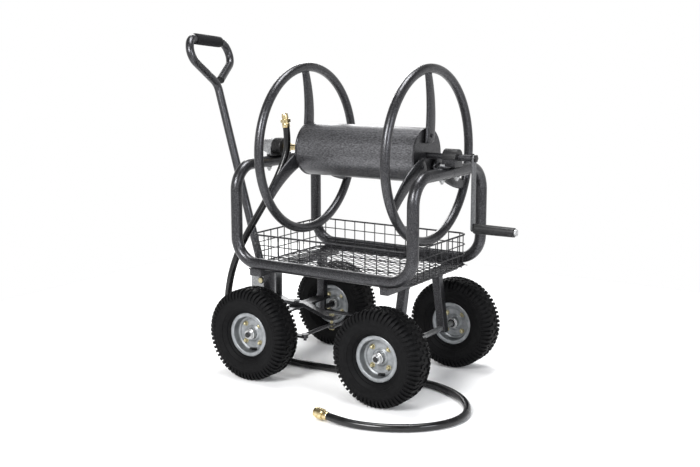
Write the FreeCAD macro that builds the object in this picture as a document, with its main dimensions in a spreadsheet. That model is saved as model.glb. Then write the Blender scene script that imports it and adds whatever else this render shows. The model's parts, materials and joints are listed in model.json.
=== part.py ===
import FreeCAD, Part
import math
import os
from FreeCAD import Placement, Rotation, Vector

# Garden hose reel cart, in millimetres.
# +X runs along the cart from the pulling handle to the crank, +Y runs across it, +Z is up.
# The origin is on the floor, under the middle of the cart's length and width.
# "near" is the -Y side, "far" the +Y side, "front" the handle end, "rear" the crank end.

X_AXIS = Vector(1, 0, 0)
Y_AXIS = Vector(0, 1, 0)
Z_AXIS = Vector(0, 0, 1)
ALONG_X = Rotation(Y_AXIS, 90)
ALONG_Y = Rotation(X_AXIS, -90)
UPRIGHT = Rotation()

doc = FreeCAD.newDocument("HoseReelCart")
sheet = doc.addObject("Spreadsheet::Sheet", "Dimensions")
nodes = []
rows_used = 0


def dimensions(**values):
    """Write driving dimensions into the sheet, one aliased row each."""
    global rows_used
    for alias, number in values.items():
        rows_used += 1
        sheet.set(f"A{rows_used}", alias)
        sheet.set(f"B{rows_used}", str(number))
        sheet.setAlias(f"B{rows_used}", alias)


# Tube frame: two bent halves that meet at the middle of each top bar.
dimensions(frame_tube_radius=16, frame_tube_wall=1.8, frame_bend_radius=70, post_y=194,
           front_hoop_x=-235, rear_hoop_x=334, rail_z=327, top_bar_z=597, sleeve_length=120)
# Members under the rails, and the angles that carry the basket.
dimensions(member_height=20, front_member_width=40, rear_member_width=26, member_overhang=3,
           ledge_width=25, ledge_thickness=3, ledge_setback=45)
# Basket of welded wire.
dimensions(basket_length=514, basket_side_gap=6, basket_height=92, basket_x=51,
           rim_wire_radius=2.5, wall_wire_radius=1.5, wall_wire_pitch=34.27, middle_wire_drop=28,
           floor_wire_radius=1.4, floor_wire_pitch=17,
           basket_width="=2 * (post_y - frame_tube_radius - basket_side_gap)")
# Wheels and undercarriage.
dimensions(tyre_radius=130, tyre_width=88, tyre_wall=8, wheel_y=208, front_axle_x=-170,
           rear_axle_x=251, rim_flange_radius=62, rim_barrel_radius=53, rim_width=50, rim_wall=3,
           rim_disc_thickness=4, rim_bolt_circle=35, rim_bolt_count=4, rim_bolt_radius=4,
           hub_radius=16, hub_length=46, axle_radius=7.5, axle_end_gap=6, running_gap=0.05)
dimensions(front_leg_y=134, leg_size=24, leg_wall=2, rear_leg_top_y=93, rear_leg_bottom_y=134,
           beam_thickness=6, beam_width=40, beam_overhang=22, beam_top_z=166)
# Steering.
dimensions(steering_pin_radius=6, pin_head_radius=9, pin_head_height=7, knuckle_radius=12,
           knuckle_height=44, side_gap=0.5, arm_length=125, arm_width=18, arm_thickness=6,
           tie_rod_radius=5, tie_eye_radius=10, tie_eye_thickness=5, near_tie_z=126,
           far_tie_z=116.5, tie_flat_reach=4, tie_pin_radius=4.5, open_pivot_gap=0.6)
dimensions(tongue_width=26, tongue_thickness=12, tongue_end=14, tongue_drop=26, tongue_slope_gap=12,
           tongue_front_x=-275, tongue_rise=22,
           yoke_front_x=-328, yoke_rear_x=-236, yoke_top_z=258, yoke_plate=3, yoke_web_z=199)
# Pulling handle: a tube that leans forward and ends in a slightly twisted D-shaped loop.
dimensions(handle_tube_radius=12.2, handle_tube_wall=1.5, handle_pivot_x=-291, handle_pivot_z=230,
           handle_shaft_length=609, handle_lean=16.2, handle_foot=20, loop_twist=12.2,
           loop_depth=136, loop_left=128, loop_right=134, loop_bend_radius=38,
           handle_grip_length=150, handle_grip_thickness=4, pivot_bolt_radius=5)
# Reel.
dimensions(bearing_rise=25, reel_z="=top_bar_z + frame_tube_radius + bearing_rise",
           ring_radius=231.4, ring_tube_radius=12.7, ring_tube_wall=1.6, front_ring_x=-124,
           rear_ring_x=273, drum_radius=74, drum_wall=2, end_plate_thickness=3, end_plate_lip=1.5,
           spoke_thickness=13, spoke_ring_width=26, spoke_ring_offset=16, spoke_middle_width=40,
           spoke_middle_offset=-4, spoke_hub_width=46, spoke_hub_offset=3, spoke_hub_reach=34,
           spoke_bolt_place=54, spoke_bolt_radius=4, spoke_bolt_head=4,
           drum_front_x="=front_ring_x + spoke_thickness / 2 + end_plate_thickness",
           drum_rear_x="=rear_ring_x - spoke_thickness / 2 - end_plate_thickness")
dimensions(shaft_radius=8.75, shaft_inside=60, shaft_end=3, pipe_radius=9, pipe_bore=6, pipe_inside=30,
           pipe_nut_radius=12.5,
           pipe_nut_height=12, pipe_nut_gap=8, pipe_nut_pitch=34)
# Bearings on the top bars.
dimensions(bearing_width=40, bearing_half_height=22, bearing_base=100, base_thickness=5,
           bearing_bolt_y=42, bearing_bolt_radius=4, collar_radius=25.5, collar_length=33,
           collar_lead=9.5, saddle_length=10, saddle_side=6, saddle_seat_gap=2, bearing_setback=3,
           swivel_radius=21, swivel_length=38, inlet_radius=13.4, inlet_length=20, inlet_bore=8,
           inlet_neck=11, inlet_start_y=28, inlet_setback=22.5)
# Crank.
dimensions(crank_overhang=68, crank_x="=rear_hoop_x + crank_overhang", crank_thickness=6,
           crank_width=18, crank_throw=185, spindle_radius=5, crank_grip_radius=13.5,
           crank_grip_length=116, crank_grip_gap=1, spindle_head=9, spindle_head_thickness=4.4)
# Loose hose.
dimensions(hose_radius=10, hose_bore=6.5, coupling_length=40, coupling_nut_radius=14.5)
doc.recompute()


def size(alias):
    """Read one driving dimension."""
    return float(sheet.get(alias))


def bind(piece, **properties):
    """Drive the piece's properties from expressions of the sheet's aliases."""
    for name, expression in properties.items():
        piece.setExpression(name, expression)
    return piece


def term(alias):
    """The expression that refers to one cell."""
    return f"Dimensions.{alias}"


def put(piece, x, y, z, turn=UPRIGHT):
    """Give a piece its place."""
    piece.Placement = Placement(Vector(x, y, z), turn)
    return piece


def cylinder(name, radius, height, x, y, z, turn=UPRIGHT):
    """A bound cylinder whose radius and height are expressions."""
    piece = doc.addObject("Part::Cylinder", name)
    bind(piece, Radius=radius, Height=height)
    return put(piece, x, y, z, turn)


def block(name, length, width, height, x, y, z, turn=UPRIGHT):
    """A bound box whose length, width and height are expressions; x, y, z is its low corner."""
    piece = doc.addObject("Part::Box", name)
    bind(piece, Length=length, Width=width, Height=height)
    return put(piece, x, y, z, turn)


def prism(name, radius, height, x, y, z, turn=UPRIGHT):
    """A bound hexagonal prism."""
    piece = doc.addObject("Part::Prism", name)
    piece.Polygon = 6
    bind(piece, Circumradius=radius, Height=height)
    return put(piece, x, y, z, turn)


def cut(name, base, tool):
    """One piece less another."""
    piece = doc.addObject("Part::Cut", name)
    piece.Base = base
    piece.Tool = tool
    return piece


def fuse(name, pieces):
    """Several overlapping pieces made one."""
    piece = doc.addObject("Part::MultiFuse", name)
    piece.Shapes = pieces
    return piece


def group(name, pieces):
    """Separate solids kept together."""
    piece = doc.addObject("Part::Compound", name)
    piece.Links = pieces
    return piece


def feature(name, shape):
    """A piece whose shape is made by Part's functions."""
    piece = doc.addObject("Part::Feature", name)
    piece.Shape = shape
    return piece


def node(piece, label):
    """Mark a finished sub-part."""
    piece.Label = label
    nodes.append(piece)
    return piece


def rounded_path(points, radii):
    """A wire of straight runs through the points, joined by tangent arcs of the radii."""
    edges = []
    start = points[0]
    for index in range(1, len(points) - 1):
        corner = points[index]
        before = (points[index - 1] - corner).normalize()
        after = (points[index + 1] - corner).normalize()
        half_turn = (math.pi - before.getAngle(after)) / 2
        reach = radii[index - 1] * math.tan(half_turn)
        arc_start = corner + before * reach
        arc_end = corner + after * reach
        inward = (before + after).normalize()
        rise = radii[index - 1] * (1 / math.cos(half_turn) - 1)
        edges.append(Part.LineSegment(start, arc_start).toShape())
        edges.append(Part.Arc(arc_start, corner + inward * rise, arc_end).toShape())
        start = arc_end
    edges.append(Part.LineSegment(start, points[-1]).toShape())
    return Part.Wire(edges)


def rod_along(path, radius):
    """A round solid swept along a path."""
    first = path.OrderedEdges[0]
    direction = first.tangentAt(first.FirstParameter)
    profile = Part.Wire(Part.makeCircle(radius, path.OrderedVertexes[0].Point, direction))
    return path.makePipeShell([profile], True, True)


def tube_along(path, radius, wall):
    """A hollow tube swept along a path."""
    return rod_along(path, radius).cut(rod_along(path, radius - wall))


def outline(points):
    """A closed flat face through the points."""
    return Part.Face(Part.makePolygon(points + [points[0]]))


def origin_plane(body, role):
    """One of a body's own origin planes."""
    return next(plane for plane in body.Origin.OriginFeatures if plane.Role == role)


def revolved_body(name, draw):
    """A body made by turning a closed sketch about its own horizontal axis."""
    body = doc.addObject("PartDesign::Body", name)
    sketch = body.newObject("Sketcher::SketchObject", name + "Sketch")
    sketch.AttachmentSupport = [(origin_plane(body, "XY_Plane"), "")]
    sketch.MapMode = "FlatFace"
    draw(sketch)
    doc.recompute()
    turned = body.newObject("PartDesign::Revolution", name + "Revolution")
    turned.Profile = sketch
    turned.ReferenceAxis = (sketch, ["H_Axis"])
    turned.Angle = 360
    body.Tip = turned
    return body


def padded_body(name, draw, plane, depth):
    """A body made by padding a closed sketch equally both ways."""
    body = doc.addObject("PartDesign::Body", name)
    sketch = body.newObject("Sketcher::SketchObject", name + "Sketch")
    sketch.AttachmentSupport = [(origin_plane(body, plane), "")]
    sketch.MapMode = "FlatFace"
    draw(sketch)
    doc.recompute()
    pad = body.newObject("PartDesign::Pad", name + "Pad")
    pad.Profile = sketch
    pad.Midplane = True
    pad.setExpression("Length", depth)
    body.Tip = pad
    return body


def draw_polygon(sketch, corners):
    """Straight edges through the corners, closed."""
    points = [Vector(across, up, 0) for across, up in corners]
    for start, end in zip(points, points[1:] + points[:1]):
        sketch.addGeometry(Part.LineSegment(start, end))


# ---- frame -------------------------------------------------------------------------------------

RAIL_BOTTOM = size("rail_z") - size("frame_tube_radius")
BAR_TOP = size("top_bar_z") + size("frame_tube_radius")
MEMBER_BOTTOM = RAIL_BOTTOM - size("member_height")


def build_frame():
    """The two bent halves, the sleeves inside their joints, the members and the ledges."""
    front_x = size("front_hoop_x")
    rear_x = size("rear_hoop_x")
    top_z = size("top_bar_z")
    rail_z = size("rail_z")
    for side, label in ((-1, "frame_near"), (1, "frame_far")):
        y = side * size("post_y")
        corners = [Vector(front_x, 0, top_z), Vector(front_x, y, top_z),
                   Vector(front_x, y, rail_z), Vector(rear_x, y, rail_z),
                   Vector(rear_x, y, top_z), Vector(rear_x, 0, top_z)]
        path = rounded_path(corners, [size("frame_bend_radius")] * 4)
        shape = tube_along(path, size("frame_tube_radius"), size("frame_tube_wall"))
        node(feature("FrameHalf", shape), label)
    sleeves = []
    for x in (front_x, rear_x):
        radius = f"{term('frame_tube_radius')} - {term('frame_tube_wall')}"
        start = -size("sleeve_length") / 2
        sleeves.append(cylinder("Sleeve", radius, term("sleeve_length"), x, start, top_z, ALONG_Y))
    node(group("Sleeves", sleeves), "frame_sleeves")

    width = f"2 * ({term('post_y')} + {term('member_overhang')})"
    edge = -size("post_y") - size("member_overhang")
    x = size("front_axle_x") - size("front_member_width") / 2
    front = block("FrontMember", term("front_member_width"), width, term("member_height"),
                  x, edge, MEMBER_BOTTOM)
    node(front, "front_crossmember")
    x = size("rear_axle_x") - size("rear_member_width") / 2
    rear = block("RearMember", term("rear_member_width"), width, term("member_height"),
                 x, edge, MEMBER_BOTTOM)
    node(rear, "rear_crossmember")

    ledges = []
    length = f"{term('rear_hoop_x')} - {term('front_hoop_x')} - 2 * {term('ledge_setback')}"
    start = size("front_hoop_x") + size("ledge_setback")
    inner = size("post_y") - size("frame_tube_radius")
    for side in (-1, 1):
        low = inner - size("ledge_width") if side > 0 else -inner
        leaf = block("LedgeLeaf", length, term("ledge_width"), term("ledge_thickness"),
                     start, low, RAIL_BOTTOM)
        low = inner - size("ledge_thickness") if side > 0 else -inner
        wall = block("LedgeWall", length, term("ledge_thickness"), term("ledge_width"),
                     start, low, RAIL_BOTTOM)
        ledges.append(fuse("Ledge", [leaf, wall]))
    node(group("Ledges", ledges), "basket_ledges")


# ---- basket ------------------------------------------------------------------------------------


def evenly(low, high, pitch):
    """Places from low to high, as near to the pitch as divides the span."""
    count = max(1, round((high - low) / pitch))
    return [low + (high - low) * step / count for step in range(count + 1)]


def straight_wire(start, end, radius):
    """One round wire."""
    return Part.makeCylinder(radius, (end - start).Length, start, end - start)


def build_basket():
    """Floor and walls of separate straight wires, crossing in layers that just touch."""
    wire = size("wall_wire_radius")
    rim = size("rim_wire_radius")
    fine = size("floor_wire_radius")
    floor_z = RAIL_BOTTOM + size("ledge_thickness")
    low_x = size("basket_x") - size("basket_length") / 2
    high_x = size("basket_x") + size("basket_length") / 2
    half_y = size("basket_width") / 2
    rim_z = floor_z + size("basket_height")

    floor = []
    for y in evenly(fine - half_y, half_y - fine, 2 * size("floor_wire_pitch")):
        floor.append(straight_wire(Vector(low_x, y, floor_z + fine),
                                   Vector(high_x, y, floor_z + fine), fine))
    for x in evenly(low_x + fine, high_x - fine, size("floor_wire_pitch")):
        floor.append(straight_wire(Vector(x, -half_y, floor_z + 3 * fine),
                                   Vector(x, half_y, floor_z + 3 * fine), fine))
    node(feature("BasketFloor", Part.makeCompound(floor)), "basket_floor")

    # Upright wires stand on the floor wires, inside the level wires; rim wires cap them.
    walls = []
    foot_z = floor_z + 4 * fine
    cap_z = rim_z - 2 * rim
    inner_x = half_y - 3 * wire
    pitch = size("wall_wire_pitch")
    for x in evenly(low_x + 3 * wire, high_x - 3 * wire, pitch):
        for y in (-inner_x, inner_x):
            walls.append(straight_wire(Vector(x, y, foot_z), Vector(x, y, cap_z), wire))
    uprights = evenly(-inner_x, inner_x, pitch)[1:-1]
    for y in uprights:
        for x in (low_x + 3 * wire, high_x - 3 * wire):
            walls.append(straight_wire(Vector(x, y, foot_z), Vector(x, y, cap_z), wire))
    levels = [(foot_z + wire, wire), (rim_z - size("middle_wire_drop"), wire), (rim_z - rim, rim)]
    for z, radius in levels:
        y = half_y - wire if radius == wire else inner_x
        x_low = low_x + wire if radius == wire else low_x + 3 * wire
        x_high = high_x - wire if radius == wire else high_x - 3 * wire
        for side in (-1, 1):
            walls.append(straight_wire(Vector(x_low - radius, side * y, z),
                                       Vector(x_high + radius, side * y, z), radius))
        for x in (x_low, x_high):
            walls.append(straight_wire(Vector(x, radius - y, z), Vector(x, y - radius, z), radius))
    node(feature("BasketWalls", Part.makeCompound(walls)), "basket_walls")


# ---- undercarriage -----------------------------------------------------------------------------

BEAM_BOTTOM = size("beam_top_z") - size("beam_thickness")
AXLE_Z = size("tyre_radius")
AXLE_END_Y = size("wheel_y") + size("hub_length") / 2 + size("axle_end_gap")


def leg_shape(bottom, top):
    """A square tube whose level ends are centred on the two points."""
    half = size("leg_size") / 2
    hollow = half - size("leg_wall")
    rings = []
    for reach in (half, hollow):
        corners = [bottom + Vector(dx, dy, 0)
                   for dx, dy in ((-reach, -reach), (reach, -reach), (reach, reach), (-reach, reach))]
        rings.append(outline(corners).extrude(top - bottom))
    return rings[0].cut(rings[1])


def build_undercarriage():
    """Legs, front beam, rear axle and the steering pins that stay with the frame."""
    front_x = size("front_axle_x")
    rear_x = size("rear_axle_x")
    legs = []
    for side in (-1, 1):
        y = side * size("front_leg_y")
        legs.append(leg_shape(Vector(front_x, y, size("beam_top_z")),
                              Vector(front_x, y, MEMBER_BOTTOM)))
    node(feature("FrontLegs", Part.makeCompound(legs)), "front_legs")

    axle_length = f"2 * ({term('wheel_y')} + {term('hub_length')} / 2 + {term('axle_end_gap')})"
    legs = []
    foot_z = AXLE_Z - size("leg_size") / 2
    for side in (-1, 1):
        leg = leg_shape(Vector(rear_x, side * size("rear_leg_bottom_y"), foot_z),
                        Vector(rear_x, side * size("rear_leg_top_y"), MEMBER_BOTTOM))
        axle_hole = Part.makeCylinder(size("axle_radius"), 2 * AXLE_END_Y,
                                      Vector(rear_x, -AXLE_END_Y, AXLE_Z), Y_AXIS)
        legs.append(leg.cut(axle_hole))
    node(feature("RearLegs", Part.makeCompound(legs)), "rear_legs")
    node(cylinder("RearAxle", term("axle_radius"), axle_length,
                  rear_x, -AXLE_END_Y, AXLE_Z, ALONG_Y), "rear_axle")

    reach = size("front_leg_y") + size("beam_overhang")
    width = f"2 * ({term('front_leg_y')} + {term('beam_overhang')})"
    bar = block("BeamBar", term("beam_width"), width, term("beam_thickness"),
                front_x - size("beam_width") / 2, -reach, BEAM_BOTTOM)
    drills = [cylinder("BeamHole", term("steering_pin_radius"), term("beam_thickness"),
                       front_x, y, BEAM_BOTTOM)
              for y in (-size("front_leg_y"), 0, size("front_leg_y"))]
    node(cut("Beam", bar, group("BeamHoles", drills)), "front_beam")


def steering_pin(x, y, head_z, foot_z):
    """A bolt that hangs from head_z, with its nut under foot_z."""
    length = f"{term('pin_head_height')} + {head_z - foot_z}"
    head = prism("PinHead", term("pin_head_radius"), term("pin_head_height"), x, y, head_z)
    shank = cylinder("PinShank", term("steering_pin_radius"), length, x, y,
                     foot_z - size("pin_head_height"))
    nut = prism("PinNut", term("pin_head_radius"), term("pin_head_height"),
                x, y, foot_z - size("pin_head_height"))
    return fuse("SteeringPin", [head, shank, nut])


def build_steering():
    """Steering pins, tongue with its yoke, knuckles and tie rods."""
    front_x = size("front_axle_x")
    gap = size("side_gap")
    leg_y = size("front_leg_y")
    knuckle_top = BEAM_BOTTOM - gap
    knuckle_foot = knuckle_top - size("knuckle_height")
    tongue_low = size("beam_top_z") + gap
    tongue_high = tongue_low + size("tongue_thickness")
    pins = [steering_pin(front_x, side * leg_y, size("beam_top_z"), knuckle_foot - gap)
            for side in (-1, 1)]
    pins.append(steering_pin(front_x, 0, tongue_high + gap, BEAM_BOTTOM))
    node(group("SteeringPins", pins), "steering_pins")

    # Tongue: a lever over the beam that rises to the yoke and drops to the tie rods.
    pin_x = front_x + size("arm_length")
    nose_x = size("tongue_front_x")
    rise = size("tongue_rise")
    step_x = front_x - size("beam_width")
    end_x = pin_x + size("tongue_end")
    flat_x = pin_x - size("tongue_end")
    slope_x = front_x + size("beam_width") / 2 + size("tongue_slope_gap")
    drop = size("tongue_drop")

    def tongue_profile(sketch):
        draw_polygon(sketch, [(end_x, tongue_low - drop), (end_x, tongue_high - drop),
                              (flat_x, tongue_high - drop), (slope_x, tongue_high),
                              (step_x, tongue_high), (nose_x, tongue_high + rise),
                              (nose_x, tongue_low + rise), (step_x, tongue_low),
                              (slope_x, tongue_low), (flat_x, tongue_low - drop)])

    lever = padded_body("TongueBar", tongue_profile, "XZ_Plane", term("tongue_width"))
    bores = [cylinder("TongueBore", f"{term('steering_pin_radius')} + {term('running_gap')}",
                      f"{term('tongue_thickness')} + 2", front_x, 0, tongue_low - 1),
             cylinder("TonguePinHole", term("tie_pin_radius"),
                      f"{term('tongue_thickness')} + 2", pin_x, 0, tongue_low - drop - 1)]
    node(cut("Tongue", lever, group("TongueBores", bores)), "tongue")

    # Yoke: two cheeks beside the tongue, joined by a web under the handle's foot.
    half = size("tongue_width") / 2
    plate = size("yoke_plate")
    yoke_front = size("yoke_front_x")
    yoke_rear = size("yoke_rear_x")
    yoke_top = size("yoke_top_z")
    web_z = size("yoke_web_z")
    cheek = [(yoke_front, yoke_top), (yoke_rear, yoke_top), (yoke_rear, tongue_low + rise / 2),
             (nose_x, tongue_low + rise), (yoke_front, web_z + plate)]
    cheeks = []
    for low in (-half - plate, half):
        face = outline([Vector(x, low, z) for x, z in cheek])
        cheeks.append(face.extrude(Vector(0, plate, 0)))
    web = Part.makeBox(nose_x - yoke_front, 2 * half, plate, Vector(yoke_front, -half, web_z))
    hole = Part.makeCylinder(size("pivot_bolt_radius"), 2 * (half + plate),
                             Vector(size("handle_pivot_x"), -half - plate, size("handle_pivot_z")),
                             Y_AXIS)
    yoke = cheeks[0].fuse([cheeks[1], web]).cut(hole).removeSplitter()
    node(feature("Yoke", yoke), "yoke")

    reach = half + plate
    bolt_x = size("handle_pivot_x")
    bolt_z = size("handle_pivot_z")
    across = f"{term('tongue_width')} + 2 * {term('yoke_plate')}"
    shank = cylinder("PivotShank", term("pivot_bolt_radius"), across, bolt_x, -reach, bolt_z, ALONG_Y)
    ends = [prism("PivotEnd", f"1.7 * {term('pivot_bolt_radius')}", term("pivot_bolt_radius"),
                  bolt_x, y, bolt_z, ALONG_Y)
            for y in (-reach - size("pivot_bolt_radius"), reach)]
    pivot = fuse("PivotBolt", [shank] + ends)
    low_z = size("far_tie_z") - size("tie_eye_thickness") / 2 - gap
    tie_top = tongue_high - drop
    length = f"{tie_top - low_z} + {term('pin_head_height')}"
    tie_shank = cylinder("TiePin", term("tie_pin_radius"), length,
                         pin_x, 0, low_z - size("pin_head_height") / 2)
    tie_head = prism("TieHead", f"1.8 * {term('tie_pin_radius')}", f"{term('pin_head_height')} / 2",
                     pin_x, 0, tie_top)
    tie_nut = prism("TieNut", f"1.8 * {term('tie_pin_radius')}", f"{term('pin_head_height')} / 2",
                    pin_x, 0, low_z - size("pin_head_height") / 2)
    node(group("TongueBolts", [pivot, fuse("TieBolt", [tie_shank, tie_head, tie_nut])]),
         "tongue_bolts")

    for side, word in ((-1, "near"), (1, "far")):
        build_knuckle(side, word, pin_x, knuckle_foot)
        build_tie_rod(side, word, pin_x)


def build_knuckle(side, word, arm_x, foot_z):
    """Sleeve on the pin, stub axle for the wheel and arm for the tie rod."""
    front_x = size("front_axle_x")
    y = side * size("front_leg_y")
    gap = size("side_gap")
    sleeve = Part.makeCylinder(size("knuckle_radius"), size("knuckle_height"),
                               Vector(front_x, y, foot_z))
    stub = Part.makeCylinder(size("axle_radius"), AXLE_END_Y - abs(y),
                             Vector(front_x, y, AXLE_Z), Y_AXIS * side)
    if side < 0:
        arm_z = size("near_tie_z") - size("tie_eye_thickness") / 2 - gap - size("arm_thickness")
    else:
        arm_z = size("far_tie_z") + size("tie_eye_thickness") / 2 + gap
    half = size("arm_width") / 2
    thick = size("arm_thickness")
    arm = Part.makeBox(arm_x - front_x, 2 * half, thick, Vector(front_x, y - half, arm_z))
    arm_end = Part.makeCylinder(half, thick, Vector(arm_x, y, arm_z))
    bore = Part.makeCylinder(size("steering_pin_radius") + size("running_gap"),
                             size("knuckle_height") + 2, Vector(front_x, y, foot_z - 1))
    eye = Part.makeCylinder(size("tie_pin_radius") + size("open_pivot_gap"), thick + 2,
                            Vector(arm_x, y, arm_z - 1))
    shape = sleeve.fuse([stub, arm, arm_end]).cut([bore, eye]).removeSplitter()
    node(feature("Knuckle", shape), "knuckle_" + word)


def build_tie_rod(side, word, pin_x):
    """A rod with a bored eye on the tongue's pin and its own bolt in the knuckle's arm."""
    height = size("near_tie_z") if side < 0 else size("far_tie_z")
    y = side * size("front_leg_y")
    thick = size("tie_eye_thickness")
    gap = size("side_gap")
    eye_radius = size("tie_eye_radius")
    flat_radius = eye_radius + size("tie_flat_reach")
    shift = eye_radius / 2
    rod = Part.makeCylinder(size("tie_rod_radius"), abs(y) - 2 * shift,
                            Vector(pin_x, side * shift, height), Y_AXIS * side)
    room = 2 * size("tie_rod_radius")
    trims = []
    for centre in (0, y):
        for low in (height + thick / 2, height - thick / 2 - room):
            trims.append(Part.makeCylinder(flat_radius, room, Vector(pin_x, centre, low)))
    eyes = [Part.makeCylinder(eye_radius, thick, Vector(pin_x, centre, height - thick / 2))
            for centre in (0, y)]
    bore = Part.makeCylinder(size("tie_pin_radius") + size("running_gap"), thick + 2,
                             Vector(pin_x, 0, height - thick / 2 - 1))
    reach = thick + gap + size("arm_thickness") + size("pin_head_height")
    low = height - thick / 2 if side > 0 else height + thick / 2 - reach
    bolt = Part.makeCylinder(size("tie_pin_radius"), reach, Vector(pin_x, y, low))
    shape = rod.cut(trims).fuse(eyes + [bolt]).cut(bore).removeSplitter()
    node(feature("TieRod", shape), "tie_rod_" + word)


# ---- wheels ------------------------------------------------------------------------------------


def build_wheel(word, x, y):
    """Tyre, rim, hub and rim bolts of one wheel, turned about the axle."""
    place = Placement(Vector(x, y, AXLE_Z), Rotation(Z_AXIS, 90))
    radius = size("tyre_radius")
    half = size("tyre_width") / 2
    bead = size("rim_barrel_radius")
    flange = size("rim_flange_radius")
    rim_half = size("rim_width") / 2
    wall = size("tyre_wall")
    lip = size("rim_wall")

    def tyre_profile(sketch):
        seat = rim_half - lip
        belly = (radius + flange) / 2
        outer = [(-seat, bead), (-seat, flange), (-half + 6, flange + 10), (-half, belly),
                 (-half + 3, radius - 16), (-half + 12, radius - 5), (-half / 2, radius),
                 (half / 2, radius), (half - 12, radius - 5), (half - 3, radius - 16),
                 (half, belly), (half - 6, flange + 10), (seat, flange), (seat, bead)]
        inner = [(seat - wall, bead), (seat - wall, flange + 6), (half - wall, belly),
                 (half - 2 * wall, radius - 2 * wall), (2 * wall - half, radius - 2 * wall),
                 (wall - half, belly), (wall - seat, flange + 6), (wall - seat, bead)]
        draw_polygon(sketch, outer + inner)

    def rim_profile(sketch):
        web = size("rim_disc_thickness") / 2
        low = bead - lip
        draw_polygon(sketch, [(-rim_half, flange), (lip - rim_half, flange), (lip - rim_half, bead),
                              (rim_half - lip, bead), (rim_half - lip, flange), (rim_half, flange),
                              (rim_half, low), (web, low), (web, size("hub_radius")),
                              (-web, size("hub_radius")), (-web, low), (-rim_half, low)])

    tyre = revolved_body("Tyre" + word, tyre_profile)
    tyre.Placement = place
    node(tyre, "tyre_" + word)

    rim = revolved_body("RimBlank" + word, rim_profile)
    rim.Placement = place
    count = int(size("rim_bolt_count"))
    ring = size("rim_bolt_circle")
    spots = [(x + ring * math.cos(math.radians(45 + 360 * step / count)),
              AXLE_Z + ring * math.sin(math.radians(45 + 360 * step / count)))
             for step in range(count)]
    disc = size("rim_disc_thickness")
    holes = [cylinder("RimHole", term("rim_bolt_radius"), f"{term('rim_disc_thickness')} + 2",
                      hole_x, y - disc / 2 - 1, hole_z, ALONG_Y) for hole_x, hole_z in spots]
    node(cut("Rim" + word, rim, group("RimHoles", holes)), "rim_" + word)

    barrel = cylinder("HubBarrel", term("hub_radius"), term("hub_length"),
                      x, y - size("hub_length") / 2, AXLE_Z, ALONG_Y)
    bore = cylinder("HubBore", f"{term('axle_radius')} + {term('running_gap')}",
                    f"{term('hub_length')} + 2", x, y - size("hub_length") / 2 - 1, AXLE_Z, ALONG_Y)
    node(cut("Hub" + word, barrel, bore), "hub_" + word)

    bolts = []
    for bolt_x, bolt_z in spots:
        shank = cylinder("RimShank", term("rim_bolt_radius"), term("rim_disc_thickness"),
                         bolt_x, y - disc / 2, bolt_z, ALONG_Y)
        head = term("rim_bolt_radius")
        ends = [prism("RimBoltEnd", f"1.7 * {head}", head, bolt_x, low, bolt_z, ALONG_Y)
                for low in (y + disc / 2, y - disc / 2 - size("rim_bolt_radius"))]
        bolts.append(fuse("RimBolt", [shank] + ends))
    node(group("RimBolts" + word, bolts), "rim_bolts_" + word)


# ---- handle ------------------------------------------------------------------------------------


def build_handle():
    """Bent tube, foam grip and the plug in the tube's open end."""
    lean = math.radians(size("handle_lean"))
    twist = math.radians(size("loop_twist"))
    up = Vector(-math.sin(lean), 0, math.cos(lean))
    normal = up.cross(Y_AXIS)
    across = Y_AXIS * math.cos(twist) + normal * math.sin(twist)
    pivot = Vector(size("handle_pivot_x"), 0, size("handle_pivot_z"))
    neck = pivot + up * size("handle_shaft_length")
    depth = size("loop_depth")
    left = size("loop_left")
    right = size("loop_right")
    flat = [(-left, depth * 0.59), (-left * 0.8, depth), (right * 0.8, depth), (right, depth * 0.59)]
    radius = size("handle_tube_radius")
    tail = neck + across * (radius * 2.15) + up * (radius * 1.15)
    points = [pivot - up * size("handle_foot"), neck]
    points += [neck + across * u + up * v for u, v in flat] + [tail]
    path = rounded_path(points, [size("loop_bend_radius")] * 5)
    tube = tube_along(path, radius, size("handle_tube_wall"))
    hole = Part.makeCylinder(size("pivot_bolt_radius") + size("running_gap"), 4 * radius,
                             pivot - Y_AXIS * (2 * radius), Y_AXIS)
    node(feature("HandleTube", tube.cut(hole)), "handle_tube")

    middle = neck + across * ((right - left) * 0.4) + up * depth
    start = middle - across * (size("handle_grip_length") / 2)
    foam = Part.makeCylinder(radius + size("handle_grip_thickness"), size("handle_grip_length"),
                             start, across)
    core = Part.makeCylinder(radius, size("handle_grip_length"), start, across)
    node(feature("HandleGrip", foam.cut(core)), "handle_grip")

    out = (tail - points[-2]).normalize()
    cap = Part.makeCylinder(radius, 2, tail, out)
    stem = Part.makeCylinder(radius - size("handle_tube_wall"), 12, tail - out * 12, out)
    node(feature("HandlePlug", cap.fuse(stem).removeSplitter()), "handle_plug")


# ---- reel --------------------------------------------------------------------------------------

SPOKE_ANGLES = (90, 210, 330)


def spoke_outline(x):
    """A curved leaf in the ring's plane, standing up from the reel's axis at the given x."""
    z = size("reel_z")
    outer = size("ring_radius")
    middle = (outer + size("spoke_hub_reach")) / 2
    stations = ((outer, size("spoke_ring_offset"), size("spoke_ring_width")),
                (middle, size("spoke_middle_offset"), size("spoke_middle_width")),
                (size("spoke_hub_reach"), size("spoke_hub_offset"), size("spoke_hub_width")))
    edges = []
    sides = []
    for sign in (-1, 1):
        sides.append([Vector(x, -offset + sign * width / 2, z + reach)
                      for reach, offset, width in stations])
    edges.append(Part.Arc(*sides[0]).toShape())
    edges.append(Part.LineSegment(sides[0][2], sides[1][2]).toShape())
    edges.append(Part.Arc(*sides[1]).toShape())
    edges.append(Part.LineSegment(sides[1][0], sides[0][0]).toShape())
    return Part.Face(Part.Wire(Part.__sortEdges__(edges)))


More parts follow.
